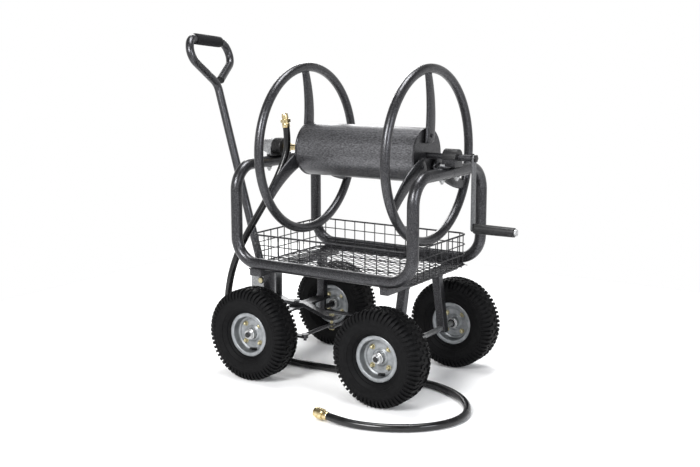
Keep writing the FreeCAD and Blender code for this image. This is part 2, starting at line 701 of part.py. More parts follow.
def build_reel():
    """Rings, spokes, drum and shaft, all turning together."""
    z = size("reel_z")
    thick = size("spoke_thickness")
    reel_axis = Vector(0, 0, z)
    bolts = []
    for x, word in ((size("front_ring_x"), "front"), (size("rear_ring_x"), "rear")):
        skins = []
        for radius in (term("ring_tube_radius"),
                       f"{term('ring_tube_radius')} - {term('ring_tube_wall')}"):
            torus = doc.addObject("Part::Torus", "Ring" + word)
            bind(torus, Radius1=term("ring_radius"), Radius2=radius)
            skins.append(put(torus, x, 0, z, ALONG_X))
        node(cut("RingTube" + word, *skins), "ring_" + word)
        trim = Part.makeTorus(size("ring_radius"), size("ring_tube_radius"), Vector(x, 0, z), X_AXIS)
        spokes = []
        for angle in SPOKE_ANGLES:
            spoke = spoke_outline(x - thick / 2).extrude(Vector(thick, 0, 0))
            spoke.rotate(reel_axis, X_AXIS, angle - 90)
            hole = Part.makeCylinder(size("spoke_bolt_radius"), 2 * thick,
                                     Vector(x - thick, 0, z + size("spoke_bolt_place")), X_AXIS)
            hole.rotate(reel_axis, X_AXIS, angle - 90)
            spokes.append(spoke.cut([trim, hole]))
        node(feature("Spokes", Part.makeCompound(spokes)), "spokes_" + word)
        outward = -1 if word == "front" else 1
        for angle in SPOKE_ANGLES:
            depth = thick + size("end_plate_thickness")
            start = x + outward * thick / 2
            shank = Part.makeCylinder(size("spoke_bolt_radius"), depth,
                                      Vector(start, 0, z + size("spoke_bolt_place")),
                                      X_AXIS * -outward)
            head = Part.makeCylinder(size("spoke_bolt_radius") * 1.8, size("spoke_bolt_head"),
                                     Vector(start, 0, z + size("spoke_bolt_place")),
                                     X_AXIS * outward)
            bolt = shank.fuse(head).removeSplitter()
            bolt.rotate(reel_axis, X_AXIS, angle - 90)
            bolts.append(bolt)
    node(feature("SpokeBolts", Part.makeCompound(bolts)), "spoke_bolts")

    front_x = size("drum_front_x")
    rear_x = size("drum_rear_x")
    plate = size("end_plate_thickness")
    length = f"{term('drum_rear_x')} - {term('drum_front_x')}"
    skin = cylinder("DrumSkin", term("drum_radius"), length, front_x, 0, z, ALONG_X)
    hollow = cylinder("DrumHollow", f"{term('drum_radius')} - {term('drum_wall')}", length,
                      front_x, 0, z, ALONG_X)
    node(cut("Drum", skin, hollow), "drum_shell")

    plates = []
    for start, bore in ((front_x - plate, "pipe_radius"), (rear_x, "shaft_radius")):
        radius = f"{term('drum_radius')} + {term('end_plate_lip')}"
        disc = cylinder("EndDisc", radius, term("end_plate_thickness"), start, 0, z, ALONG_X)
        cuts = [cylinder("EndBore", term(bore), f"{term('end_plate_thickness')} + 2",
                         start - 1, 0, z, ALONG_X)]
        for angle in SPOKE_ANGLES:
            turn = math.radians(angle)
            reach = size("spoke_bolt_place")
            cuts.append(cylinder("EndHole", term("spoke_bolt_radius"),
                                 f"{term('end_plate_thickness')} + 2", start - 1,
                                 reach * math.cos(turn), z + reach * math.sin(turn), ALONG_X))
        plates.append(cut("EndPlate", disc, group("EndCuts", cuts)))
    node(group("EndPlates", plates), "drum_ends")

    # A shaft runs from inside the drum to the crank; a brass pipe feeds the other end.
    shaft_length = (f"{term('crank_x')} + {term('crank_thickness')} + {term('shaft_end')}"
                    f" - {term('drum_rear_x')} + {term('shaft_inside')}")
    shaft_start = rear_x - size("shaft_inside")
    node(cylinder("ShaftRod", term("shaft_radius"), shaft_length, shaft_start, 0, z, ALONG_X),
         "reel_shaft")

    pipe_end = SWIVEL_REAR + size("side_gap")
    pipe_length = f"{front_x - pipe_end} + {term('pipe_inside')}"
    pipe = cylinder("PipeRod", term("pipe_radius"), pipe_length, pipe_end, 0, z, ALONG_X)
    first_nut = COLLAR_REAR + size("pipe_nut_gap")
    nuts = [prism("PipeNut", term("pipe_nut_radius"), term("pipe_nut_height"), x, 0, z, ALONG_X)
            for x in (first_nut, first_nut + size("pipe_nut_pitch"))]
    bore = cylinder("PipeBore", term("pipe_bore"), f"{pipe_length} + 2", pipe_end - 1, 0, z, ALONG_X)
    node(cut("WaterPipe", fuse("PipeBody", [pipe] + nuts), bore), "water_pipe")


# ---- bearings on the top bars --------------------------------------------------------------------

BASE_TOP = BAR_TOP + size("base_thickness")
COLLAR_FRONT = size("front_hoop_x") - size("frame_tube_radius") + size("collar_lead")
COLLAR_REAR = COLLAR_FRONT + size("collar_length")
SWIVEL_REAR = COLLAR_FRONT


def build_bearings():
    """Front collar and swivel for the water, rear two-part bearing for the shaft."""
    z = size("reel_z")
    front_x = size("front_hoop_x")
    rear_x = size("rear_hoop_x")
    base_half = size("bearing_base") / 2
    bar = 2 * size("frame_tube_radius")
    bolt_y = size("bearing_bolt_y")
    bolt = size("bearing_bolt_radius")

    # Front collar: a bored plastic block with feet, bolted to the bar.
    foot = Part.makeBox(bar - size("collar_lead"), 2 * base_half, size("base_thickness"),
                        Vector(COLLAR_FRONT, -base_half, BAR_TOP))
    collar = Part.makeCylinder(size("collar_radius"), size("collar_length"),
                               Vector(COLLAR_FRONT, 0, z), X_AXIS)
    bore = Part.makeCylinder(size("pipe_radius") + size("running_gap"), size("collar_length") + 2,
                             Vector(COLLAR_FRONT - 1, 0, z), X_AXIS)
    below = Part.makeBox(2 * size("collar_length"), 4 * base_half, size("collar_radius"),
                         Vector(COLLAR_FRONT - 1, -2 * base_half, BAR_TOP - size("collar_radius")))
    drills = [Part.makeCylinder(bolt, 80, Vector(front_x, y, BAR_TOP - 1)) for y in (-bolt_y, bolt_y)]
    block_shape = collar.fuse(foot).cut([bore, below] + drills).removeSplitter()
    node(feature("FrontCollar", block_shape), "swivel_bearing")

    # Cast saddle under the swivel, against the collar's front face.
    half = size("swivel_radius") + size("saddle_side")
    saddle = Part.makeBox(size("saddle_length"), 2 * half, z - BAR_TOP - size("saddle_seat_gap"),
                          Vector(COLLAR_FRONT - size("saddle_length"), -half, BAR_TOP))
    swivel_room = Part.makeCylinder(size("swivel_radius"), 2 * size("swivel_length"),
                                    Vector(SWIVEL_REAR + 1, 0, z), -X_AXIS)
    node(feature("FrontBracket", saddle.cut(swivel_room)), "swivel_bracket")

    # The swivel's inlet points across the cart, away from the loose hose.
    inlet_x = SWIVEL_REAR - size("inlet_setback")
    inlet_y = size("inlet_start_y")
    body = Part.makeCylinder(size("swivel_radius"), size("swivel_length"),
                             Vector(SWIVEL_REAR, 0, z), -X_AXIS)
    neck = Part.makeCylinder(size("inlet_neck"), inlet_y, Vector(inlet_x, 0, z), Y_AXIS)
    stub = Part.makeCylinder(size("inlet_radius"), size("inlet_length"),
                             Vector(inlet_x, inlet_y, z), Y_AXIS)
    way = Part.makeCylinder(size("inlet_bore"), inlet_y + size("inlet_length") + 1,
                            Vector(inlet_x, 0, z), Y_AXIS)
    outlet = Part.makeCylinder(size("inlet_bore"), size("inlet_setback") + 1,
                               Vector(inlet_x, 0, z), X_AXIS)
    swivel = body.fuse([neck, stub]).cut([way, outlet]).removeSplitter()
    node(feature("Swivel", swivel), "swivel_body")

    # Rear bearing: metal block on the bar, plastic cap over the shaft.
    width = size("bearing_width")
    setback = size("bearing_setback")
    low_x = rear_x - bar / 2 + setback
    half = size("bearing_half_height")
    bore = Part.makeCylinder(size("shaft_radius") + size("running_gap"), width + 2,
                             Vector(low_x - 1, 0, z), X_AXIS)
    foot = Part.makeBox(bar - setback, 2 * base_half, size("base_thickness"),
                        Vector(low_x, -base_half, BAR_TOP))
    post = Part.makeBox(width, 2 * half, z - BAR_TOP, Vector(low_x, -half, BAR_TOP))
    drills = [Part.makeCylinder(bolt, 80, Vector(rear_x, y, BAR_TOP - 1)) for y in (-bolt_y, bolt_y)]
    lower = foot.fuse(post).cut([bore] + drills).removeSplitter()
    node(feature("RearBearing", lower), "rear_bearing")
    arch = Part.makeCylinder(half, width, Vector(low_x, 0, z), X_AXIS)
    under = Part.makeBox(width + 2, 3 * half, 2 * half, Vector(low_x - 1, -1.5 * half, z - 2 * half))
    node(feature("RearCap", arch.cut([under, bore])), "rear_bearing_cap")

    bolts = []
    for x in (front_x, rear_x):
        for y in (-bolt_y, bolt_y):
            head = prism("BearingBoltHead", f"1.8 * {term('bearing_bolt_radius')}",
                         term("bearing_bolt_radius"), x, y, BASE_TOP)
            shank = cylinder("BearingBoltShank", term("bearing_bolt_radius"),
                             term("base_thickness"), x, y, BAR_TOP)
            bolts.append(fuse("BearingBolt", [head, shank]))
    node(group("BearingBolts", bolts), "bearing_bolts")


# ---- crank -------------------------------------------------------------------------------------


def build_crank():
    """Flat arm, spindle and the grip that turns on it."""
    z = size("reel_z")
    x = size("crank_x")
    throw = size("crank_throw")
    half = size("crank_width") / 2

    def arm_profile(sketch):
        arcs = ((0, 0, math.pi), (-throw, math.pi, 2 * math.pi))
        for height, start, end in arcs:
            circle = Part.Circle(Vector(0, height, 0), Z_AXIS, half)
            sketch.addGeometry(Part.ArcOfCircle(circle, start, end))
        sketch.addGeometry(Part.LineSegment(Vector(-half, 0, 0), Vector(-half, -throw, 0)))
        sketch.addGeometry(Part.LineSegment(Vector(half, -throw, 0), Vector(half, 0, 0)))

    arm = padded_body("CrankBar", arm_profile, "YZ_Plane", term("crank_thickness"))
    arm.Placement = Placement(Vector(x + size("crank_thickness") / 2, 0, z), UPRIGHT)
    bores = [cylinder("CrankBore", term("shaft_radius"), f"{term('crank_thickness')} + 2",
                      x - 1, 0, z, ALONG_X),
             cylinder("CrankPinHole", term("spindle_radius"), f"{term('crank_thickness')} + 2",
                      x - 1, 0, z - throw, ALONG_X)]
    node(cut("CrankArm", arm, group("CrankBores", bores)), "crank_arm")

    reach = f"{term('crank_thickness')} + {term('crank_grip_length')} + 2 * {term('crank_grip_gap')}"
    pin = cylinder("SpindlePin", term("spindle_radius"), f"{reach} + {term('spindle_head_thickness')}",
                   x, 0, z - throw, ALONG_X)
    head_x = x + size("crank_thickness") + size("crank_grip_length") + 2 * size("crank_grip_gap")
    head = cylinder("SpindleHead", term("spindle_head"), term("spindle_head_thickness"),
                    head_x, 0, z - throw, ALONG_X)
    node(fuse("Spindle", [pin, head]), "crank_spindle")

    start = x + size("crank_thickness") + size("crank_grip_gap")
    grip = cylinder("GripBlank", term("crank_grip_radius"), term("crank_grip_length"),
                    start, 0, z - throw, ALONG_X)
    hole = cylinder("GripBore", f"{term('spindle_radius')} + {term('running_gap')}",
                    f"{term('crank_grip_length')} + 2", start - 1, 0, z - throw, ALONG_X)
    node(cut("CrankGrip", grip, hole), "crank_grip")


# ---- hose --------------------------------------------------------------------------------------

# The hose leans on the water pipe, drops past the front hoop and lies round a rear wheel.
HOSE_ROUTE = (
    (-168, -47, 699), (-165.5, -42, 652), (-170, -56, 602), (-182, -80, 548), (-205, -97, 491),
    (-236, -107, 437), (-264, -118, 386), (-285, -132, 335), (-300, -142, 281), (-311, -145, 228),
    (-320, -142, 176), (-327, -136, 126), (-322, -125, 77), (-297, -107, 36), (-255, -86, 13),
    (-208, -66, 10), (-159, -52, 10), (-95, -54, 10), (-23, -50, 10), (69, -38, 10),
    (165, -20, 10), (253, -12, 10), (334, -24, 10), (407, -62, 10), (460, -118, 10),
    (487, -186, 10), (477, -256, 10), (433, -319, 10), (367, -364, 10), (295, -386, 10),
    (246, -390.5, 12), (206, -388.5, 15.5))


def build_hose():
    """Tube of straight runs and tangent arcs, with a brass coupling on each end."""
    radius = size("hose_radius")
    points = [Vector(*point) for point in HOSE_ROUTE]
    radii = []
    for before, corner, after in zip(points, points[1:], points[2:]):
        shorter = min((corner - before).Length, (after - corner).Length)
        turn = (corner - before).getAngle(after - corner)
        radii.append(0.45 * shorter / math.tan(turn / 2))
    path = rounded_path(points, radii)
    hose = rod_along(path, radius)
    section = math.pi * radius ** 2
    print("hose length", round(path.Length, 1), "radii", [round(bend) for bend in radii])
    print("hose volume over section times length", hose.Volume / (section * path.Length))
    node(feature("Hose", hose), "hose")

    length = size("coupling_length")
    nut = size("coupling_nut_radius")
    bore = size("hose_bore")
    ends = ((points[0], points[0] - points[1], "hose_coupling_upper"),
            (points[-1], points[-1] - points[-2], "hose_coupling_lower"))
    for start, out, label in ends:
        out.normalize()
        ferrule = Part.makeCylinder(radius + 1, length * 0.35, start, out)
        if label.endswith("upper"):
            collar = Part.makeCylinder(nut, length * 0.25, start + out * (length * 0.35), out)
            spout = Part.makeCylinder(radius, length * 0.4, start + out * (length * 0.6), out)
        else:
            collar = Part.makeCylinder(nut, length * 0.45, start + out * (length * 0.35), out)
            spout = Part.makeCylinder(nut - 1.5, length * 0.2, start + out * (length * 0.8), out)
        way = Part.makeCylinder(bore, length, start + out * 3, out)
        node(feature("Coupling", ferrule.fuse([collar, spout]).cut(way).removeSplitter()), label)


build_frame()
build_basket()
build_undercarriage()
build_steering()
for axle, axle_x in (("front", size("front_axle_x")), ("rear", size("rear_axle_x"))):
    for side, word in ((-1, "near"), (1, "far")):
        build_wheel(f"{axle}_{word}", axle_x, side * size("wheel_y"))
build_handle()
build_reel()
build_bearings()
build_crank()
build_hose()
doc.recompute()

for item in doc.Objects:
    if "Invalid" in item.State or "Error" in item.State:
        raise RuntimeError(f"{item.Label} did not build: {item.State}")
for piece in nodes:
    if piece.Shape.isNull() or not piece.Shape.isValid():
        raise RuntimeError(f"{piece.Label} has no valid shape")

os.makedirs("parts", exist_ok=True)
for piece in nodes:
    piece.Shape.exportStep(os.path.join("parts", piece.Label + ".step"))
box = FreeCAD.BoundBox()
for piece in nodes:
    if not piece.Label.startswith("hose"):
        box.add(piece.Shape.BoundBox)
print(len(nodes), "nodes; middle of length", round((box.XMin + box.XMax) / 2, 2),
      "size", round(box.XLength, 1), round(box.YLength, 1), round(box.ZLength, 1))
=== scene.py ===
"""Looks of a garden hose reel cart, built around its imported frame.

Lengths in the dataclasses are millimetres; the helper mm() turns them into metres.
+X runs from the pull handle to the crank, +Y across the cart, +Z up.
"""

import json
import logging
import math
import random
from dataclasses import dataclass, field
from enum import Enum
from typing import Callable, Sequence

import bmesh
import bpy
from mathutils import Matrix, Vector


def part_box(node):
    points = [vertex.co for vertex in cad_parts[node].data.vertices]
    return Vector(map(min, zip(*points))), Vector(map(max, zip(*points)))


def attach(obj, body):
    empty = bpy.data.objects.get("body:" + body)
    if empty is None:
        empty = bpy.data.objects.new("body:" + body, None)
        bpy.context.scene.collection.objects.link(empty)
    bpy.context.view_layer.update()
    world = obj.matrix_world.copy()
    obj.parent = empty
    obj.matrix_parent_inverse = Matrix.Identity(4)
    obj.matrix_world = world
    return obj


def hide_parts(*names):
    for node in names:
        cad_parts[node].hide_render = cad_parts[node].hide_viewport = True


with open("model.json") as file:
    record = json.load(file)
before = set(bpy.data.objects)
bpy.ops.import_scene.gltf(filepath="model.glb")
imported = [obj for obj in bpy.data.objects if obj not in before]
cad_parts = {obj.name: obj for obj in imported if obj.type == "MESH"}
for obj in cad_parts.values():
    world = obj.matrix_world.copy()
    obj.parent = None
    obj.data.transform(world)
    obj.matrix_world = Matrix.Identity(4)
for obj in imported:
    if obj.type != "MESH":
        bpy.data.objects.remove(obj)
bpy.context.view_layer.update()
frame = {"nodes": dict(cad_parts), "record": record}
LOG = logging.getLogger("hose_reel_cart")
Point = Sequence[float]
Tree = bpy.types.NodeTree
Node = bpy.types.Node
Socket = bpy.types.NodeSocket
X_AXIS = Vector((1, 0, 0))
Y_AXIS = Vector((0, 1, 0))
Z_AXIS = Vector((0, 0, 1))


def mm(value: float) -> float:
    """Millimetres as metres."""
    return value * 0.001


def linear(code: str) -> tuple[float, float, float, float]:
    """Turn an sRGB hex colour into linear light.

    Args:
        code: six hex digits after a hash.

    Returns:
        Linear red, green, blue and an alpha of one.
    """
    channels = [int(code[place:place + 2], 16) / 255 for place in (1, 3, 5)]
    bent = [c / 12.92 if c <= 0.04045 else ((c + 0.055) / 1.055) ** 2.4 for c in channels]
    return (*bent, 1.0)


# ---- finishes -----------------------------------------------------------------------------------


def add_node(tree: Tree, kind: str, settings: dict | None = None,
             links: dict | None = None) -> Node:
    """Add one shader node.

    Args:
        tree: the tree it joins.
        kind: the node's type name without the ShaderNode prefix.
        settings: socket values by socket name, or properties by name.
        links: output sockets of other nodes, by this node's input name or place.

    Returns:
        The new node.
    """
    node = tree.nodes.new("ShaderNode" + kind)
    for name, value in (settings or {}).items():
        if hasattr(node, name):
            setattr(node, name, value)
        else:
            node.inputs[name].default_value = value
    for name, socket in (links or {}).items():
        tree.links.new(socket, node.inputs[name])
    return node


@dataclass(frozen=True)
class Finish:
    """A surface: what every finish shares.

    Args:
        name: the material's name.
        colour: main sRGB colour.
        second: the colour that the pattern mixes in.
        metallic: 0 for paint and rubber, 1 for bare metal.
        roughness: middle roughness.
        grain_mm: size of the pattern.
        depth_mm: height of the relief that the pattern makes.
    """

    name: str = "finish"
    colour: str = "#808080"
    second: str = "#909090"
    metallic: float = 0.0
    roughness: float = 0.5
    grain_mm: float = 2.0
    depth_mm: float = 0.05

    def build(self) -> bpy.types.Material:
        """Make the material, or give back the one already made.

        Returns:
            The material.
        """
        made = bpy.data.materials.get(self.name)
        if made is not None:
            return made
        material = bpy.data.materials.new(self.name)
        material.use_nodes = True
        tree = material.node_tree
        shader = tree.nodes["Principled BSDF"]
        shader.inputs["Metallic"].default_value = self.metallic
        place = add_node(tree, "TexCoord").outputs["Object"]
        self.dress(tree, shader, place)
        return material

    def dress(self, tree: Tree, shader: Node, place: Socket) -> None:
        """Give the shader this finish's colour, roughness and relief."""
        raise NotImplementedError

    def colour_mix(self, tree: Tree, shader: Node,
                   factor: Socket, low: float, high: float) -> None:
        """Mix the two colours by a pattern that is stretched between low and high.

        Args:
            tree: the node tree.
            shader: the surface shader.
            factor: the pattern.
            low: pattern value for the main colour.
            high: pattern value for the second.
        """
        ramp = add_node(tree, "ValToRGB", links={"Fac": factor})
        ramp.color_ramp.elements[0].position = low
        ramp.color_ramp.elements[1].position = high
        ramp.color_ramp.elements[0].color = linear(self.colour)
        ramp.color_ramp.elements[1].color = linear(self.second)
        tree.links.new(ramp.outputs["Color"], shader.inputs["Base Color"])

    def rough_range(self, tree: Tree, shader: Node,
                    factor: Socket, spread: float) -> None:
        """Vary the roughness by a pattern around the middle value.

        Args:
            tree: the node tree.
            shader: the surface shader.
            factor: the pattern.
            spread: how far roughness goes each way.
        """
        mapped = add_node(tree, "MapRange", {"To Min": self.roughness - spread,
                                             "To Max": self.roughness + spread},
                          {"Value": factor})
        tree.links.new(mapped.outputs["Result"], shader.inputs["Roughness"])

    def relief(self, tree: Tree, shader: Node,
               height: Socket, strength: float) -> None:
        """Raise the surface by a pattern, as deep as depth_mm.

        Args:
            tree: the node tree.
            shader: the surface shader.
            height: the pattern.
            strength: share of the relief that shows.
        """
        bump = add_node(tree, "Bump", {"Strength": strength, "Distance": mm(self.depth_mm)},
                        {"Height": height})
        tree.links.new(bump.outputs["Normal"], shader.inputs["Normal"])


@dataclass(frozen=True)
class HammeredPowderCoat(Finish):
    """Charcoal hammer-tone powder coat: cured pigment pulls into small dimples with bright rims.

    The dimples are drawn about twice as coarse as real ones, so that they show.
    """

    name: str = "hammered_powder_coat"
    colour: str = "#212123"
    second: str = "#626265"
    metallic: float = 0.8
    roughness: float = 0.3
    grain_mm: float = 2.4
    depth_mm: float = 0.25

    def dress(self, tree: Tree, shader: Node, place: Socket) -> None:
        """Dimples from cells, flake glitter from a finer noise.

        Args:
            tree: the node tree.
            shader: the surface shader.
            place: where on the piece.
        """
        cells = add_node(tree, "TexVoronoi", {"Scale": 1 / mm(self.grain_mm), "Randomness": 1.0},
                         {"Vector": place})
        flake = add_node(tree, "TexNoise", {"Scale": 1 / mm(self.grain_mm * 0.45), "Detail": 3.0},
                         {"Vector": place})
        both = add_node(tree, "Math", {"operation": "MULTIPLY"},
                        {0: cells.outputs["Distance"], 1: flake.outputs["Fac"]})
        self.colour_mix(tree, shader, both.outputs["Value"], 0.08, 0.62)
        self.rough_range(tree, shader, flake.outputs["Fac"], 0.10)
        self.relief(tree, shader, cells.outputs["Distance"], 0.55)


@dataclass(frozen=True)
class WirePaint(Finish):
    """Dipped black-grey coat on drawn wire: thick, satin, slightly uneven at the welds."""

    name: str = "dipped_wire_coat"
    colour: str = "#19191B"
    second: str = "#353538"
    metallic: float = 0.45
    roughness: float = 0.42
    grain_mm: float = 5.0
    depth_mm: float = 0.1

    def dress(self, tree: Tree, shader: Node, place: Socket) -> None:
        """Soft drips and thin places.

        Args:
            tree: the node tree.
            shader: the surface shader.
            place: where on the piece.
        """
        drip = add_node(tree, "TexNoise", {"Scale": 1 / mm(self.grain_mm), "Detail": 4.0},
                        {"Vector": place})
        self.colour_mix(tree, shader, drip.outputs["Fac"], 0.35, 0.75)
        self.rough_range(tree, shader, drip.outputs["Fac"], 0.08)
        self.relief(tree, shader, drip.outputs["Fac"], 0.4)


@dataclass(frozen=True)
class RimEnamel(Finish):
    """Silver-grey stoving enamel on pressed steel: even, satin, with faint orange peel and dust."""

    name: str = "silver_rim_enamel"
    colour: str = "#717476"
    second: str = "#94979A"
    metallic: float = 0.35
    roughness: float = 0.38
    grain_mm: float = 14.0
    depth_mm: float = 0.05

    def dress(self, tree: Tree, shader: Node, place: Socket) -> None:
        """Cloudy tone and a fine orange peel.

        Args:
            tree: the node tree.
            shader: the surface shader.
            place: where on the piece.
        """
        cloud = add_node(tree, "TexNoise", {"Scale": 1 / mm(self.grain_mm), "Detail": 5.0},
                         {"Vector": place})
        peel = add_node(tree, "TexNoise", {"Scale": 1 / mm(1.6), "Detail": 2.0}, {"Vector": place})
        self.colour_mix(tree, shader, cloud.outputs["Fac"], 0.3, 0.72)
        self.rough_range(tree, shader, cloud.outputs["Fac"], 0.1)
        self.relief(tree, shader, peel.outputs["Fac"], 0.35)


@dataclass(frozen=True)
class PlatedZinc(Finish):
    """Bright zinc plate on steel: pale, faintly streaked metal with a crystalline spangle."""

    name: str = "bright_zinc_plate"
    colour: str = "#A6A7A8"
    second: str = "#C9CACB"
    metallic: float = 0.9
    roughness: float = 0.34
    grain_mm: float = 3.0
    depth_mm: float = 0.04

    def dress(self, tree: Tree, shader: Node, place: Socket) -> None:
        """Spangle cells with scratches across them.

        Args:
            tree: the node tree.
            shader: the surface shader.
            place: where on the piece.
        """
        spangle = add_node(tree, "TexVoronoi", {"Scale": 1 / mm(self.grain_mm)}, {"Vector": place})
        scratch = add_node(tree, "TexNoise", {"Scale": 1 / mm(0.9), "Detail": 6.0},
                           {"Vector": place})
        self.colour_mix(tree, shader, spangle.outputs["Color"], 0.2, 0.85)
        self.rough_range(tree, shader, scratch.outputs["Fac"], 0.12)
        self.relief(tree, shader, scratch.outputs["Fac"], 0.35)


@dataclass(frozen=True)
class CastZinc(PlatedZinc):
    """Die-cast zinc alloy: duller and slightly pebbled where the mould was cool."""

    name: str = "die_cast_zinc"
    colour: str = "#7A7B7D"
    second: str = "#A0A1A2"
    metallic: float = 0.75
    roughness: float = 0.45
    grain_mm: float = 1.8
    depth_mm: float = 0.12


@dataclass(frozen=True)
class YellowZinc(PlatedZinc):
    """Yellow chromate over zinc: a dull straw tint."""

    name: str = "yellow_chromate_zinc"
    colour: str = "#938B6C"
    second: str = "#BDB594"
    metallic: float = 0.8
    roughness: float = 0.3
    grain_mm: float = 4.0


@dataclass(frozen=True)
class MachinedBrass(Finish):
    """Turned brass: pale yellow metal with fine tool rings."""

    name: str = "turned_brass"
    colour: str = "#AE9768"
    second: str = "#DACDA6"
    metallic: float = 1.0
    roughness: float = 0.24
    grain_mm: float = 6.0
    depth_mm: float = 0.03

    def dress(self, tree: Tree, shader: Node, place: Socket) -> None:
        """Tarnish clouds and tool marks.

        Args:
            tree: the node tree.
            shader: the surface shader.
            place: where on the piece.
        """
        cloud = add_node(tree, "TexNoise", {"Scale": 1 / mm(self.grain_mm), "Detail": 3.0},
                         {"Vector": place})
        marks = add_node(tree, "TexNoise", {"Scale": 1 / mm(0.7), "Detail": 4.0}, {"Vector": place})
        self.colour_mix(tree, shader, cloud.outputs["Fac"], 0.3, 0.7)
        self.rough_range(tree, shader, marks.outputs["Fac"], 0.08)
        self.relief(tree, shader, marks.outputs["Fac"], 0.3)


@dataclass(frozen=True)
class TyreRubber(Finish):
    """Vulcanised tyre rubber: near black, dull, with a dry bloom in the mould's fine texture."""

    name: str = "vulcanised_tyre_rubber"
    colour: str = "#060607"
    second: str = "#121213"
    shine: float = 0.1
    roughness: float = 0.62
    grain_mm: float = 9.0
    depth_mm: float = 0.12

    def dress(self, tree: Tree, shader: Node, place: Socket) -> None:
        """Bloom clouds over a fine pebble.

        Args:
            tree: the node tree.
            shader: the surface shader.
            place: where on the piece.
        """
        bloom = add_node(tree, "TexNoise", {"Scale": 1 / mm(self.grain_mm), "Detail": 6.0},
                         {"Vector": place})
        pebble = add_node(tree, "TexNoise", {"Scale": 1 / mm(1.2), "Detail": 2.0},
                          {"Vector": place})
        self.colour_mix(tree, shader, bloom.outputs["Fac"], 0.38, 0.8)
        self.rough_range(tree, shader, bloom.outputs["Fac"], 0.12)
        self.relief(tree, shader, pebble.outputs["Fac"], 0.5)
        shader.inputs["Specular IOR Level"].default_value = self.shine


@dataclass(frozen=True)
class HoseRubber(TyreRubber):
    """Extruded hose jacket: smooth, glossy black with a slight waviness from the extruder."""

    name: str = "extruded_hose_jacket"
    colour: str = "#0D0D0E"
    second: str = "#1C1C1D"
    roughness: float = 0.24
    shine: float = 0.42
    grain_mm: float = 30.0
    depth_mm: float = 0.06


@dataclass(frozen=True)
class MouldedPlastic(TyreRubber):
    """Injection-moulded black polypropylene with a spark-eroded satin texture."""

    name: str = "moulded_black_plastic"
    colour: str = "#131314"
    second: str = "#272728"
    roughness: float = 0.42
    shine: float = 0.3
    grain_mm: float = 7.0
    depth_mm: float = 0.08


@dataclass(frozen=True)
class GripFoam(TyreRubber):
    """Closed-cell foam sleeve: matt black, pitted by its cut cells."""

    name: str = "closed_cell_foam"
    colour: str = "#141415"
    second: str = "#2B2B2D"
    roughness: float = 0.8
    grain_mm: float = 2.2
    depth_mm: float = 0.35


@dataclass(frozen=True)
class StudioPaper(Finish):
    """Matt white paper sweep under and behind the cart."""

    name: str = "studio_paper"
    colour: str = "#F4F4F4"
    second: str = "#FAFAFA"
    roughness: float = 0.9
    grain_mm: float = 400.0

    def dress(self, tree: Tree, shader: Node, place: Socket) -> None:
        """Almost even white."""
        cloud = add_node(tree, "TexNoise", {"Scale": 1 / mm(self.grain_mm)}, {"Vector": place})
        self.colour_mix(tree, shader, cloud.outputs["Fac"], 0.3, 0.7)
        shader.inputs["Roughness"].default_value = self.roughness


FINISH_OF_SLOT = {
    "hammered_paint": HammeredPowderCoat(), "zinc_steel": PlatedZinc(), "cast_zinc": CastZinc(),
    "coated_wire": WirePaint(), "black_plastic": MouldedPlastic(), "black_foam": GripFoam(),
    "hose_rubber": HoseRubber(), "brass": MachinedBrass(), "tyre_rubber": TyreRubber(),
    "rim_paint": RimEnamel(), "yellow_zinc": YellowZinc()}


# ---- mesh building ------------------------------------------------------------------------------


def across(direction: Vector) -> tuple[Vector, Vector]:
    """Two unit vectors square to a direction and to each other."""
    helper = Z_AXIS if abs(direction.normalized().z) < 0.9 else X_AXIS
    first = direction.cross(helper).normalized()
    return first, direction.cross(first).normalized()


def circle(centre: Vector, first: Vector, second: Vector, radius: float, count: int,
           flat: float = 1.0) -> list[Vector]:
    """Points round a circle, or an oval when flat is not one.

    Args:
        centre: the middle.
        first: direction of the first radius.
        second: direction of the second.
        radius: the first radius, in metres.
        count: how many points.
        flat: the second radius over the first.

    Returns:
        The points in order.
    """
    points = []
    for step in range(count):
        turn = 2 * math.pi * step / count
        points.append(centre + first * (radius * math.cos(turn))
                      + second * (radius * flat * math.sin(turn)))
    return points


def bent_route(corners: Sequence[Vector], bends: Sequence[float],
               step: float = 0.11) -> list[Vector]:
    """Points along straight runs joined by arcs.

    Args:
        corners: where the centre line would turn.
        bends: the arc's radius at each inner corner.
        step: the turn between two points of an arc, in radians.

    Returns:
        The points from the first corner to the last.
    """
    points = [corners[0].copy()]
    for before, corner, after, bend in zip(corners, corners[1:], corners[2:], bends):
        back = (before - corner).normalized()
        ahead = (after - corner).normalized()
        half = (math.pi - back.angle(ahead)) / 2
        reach = bend * math.tan(half)
        centre = corner + (back + ahead).normalized() * (bend / math.cos(half))
        start = corner + back * reach - centre
        normal = start.cross(corner + ahead * reach - centre).normalized()
        count = max(3, math.ceil(2 * half / step))
        for index in range(count + 1):
            points.append(centre + Matrix.Rotation(2 * half * index / count, 3, normal) @ start)
    points.append(corners[-1].copy())
    return points


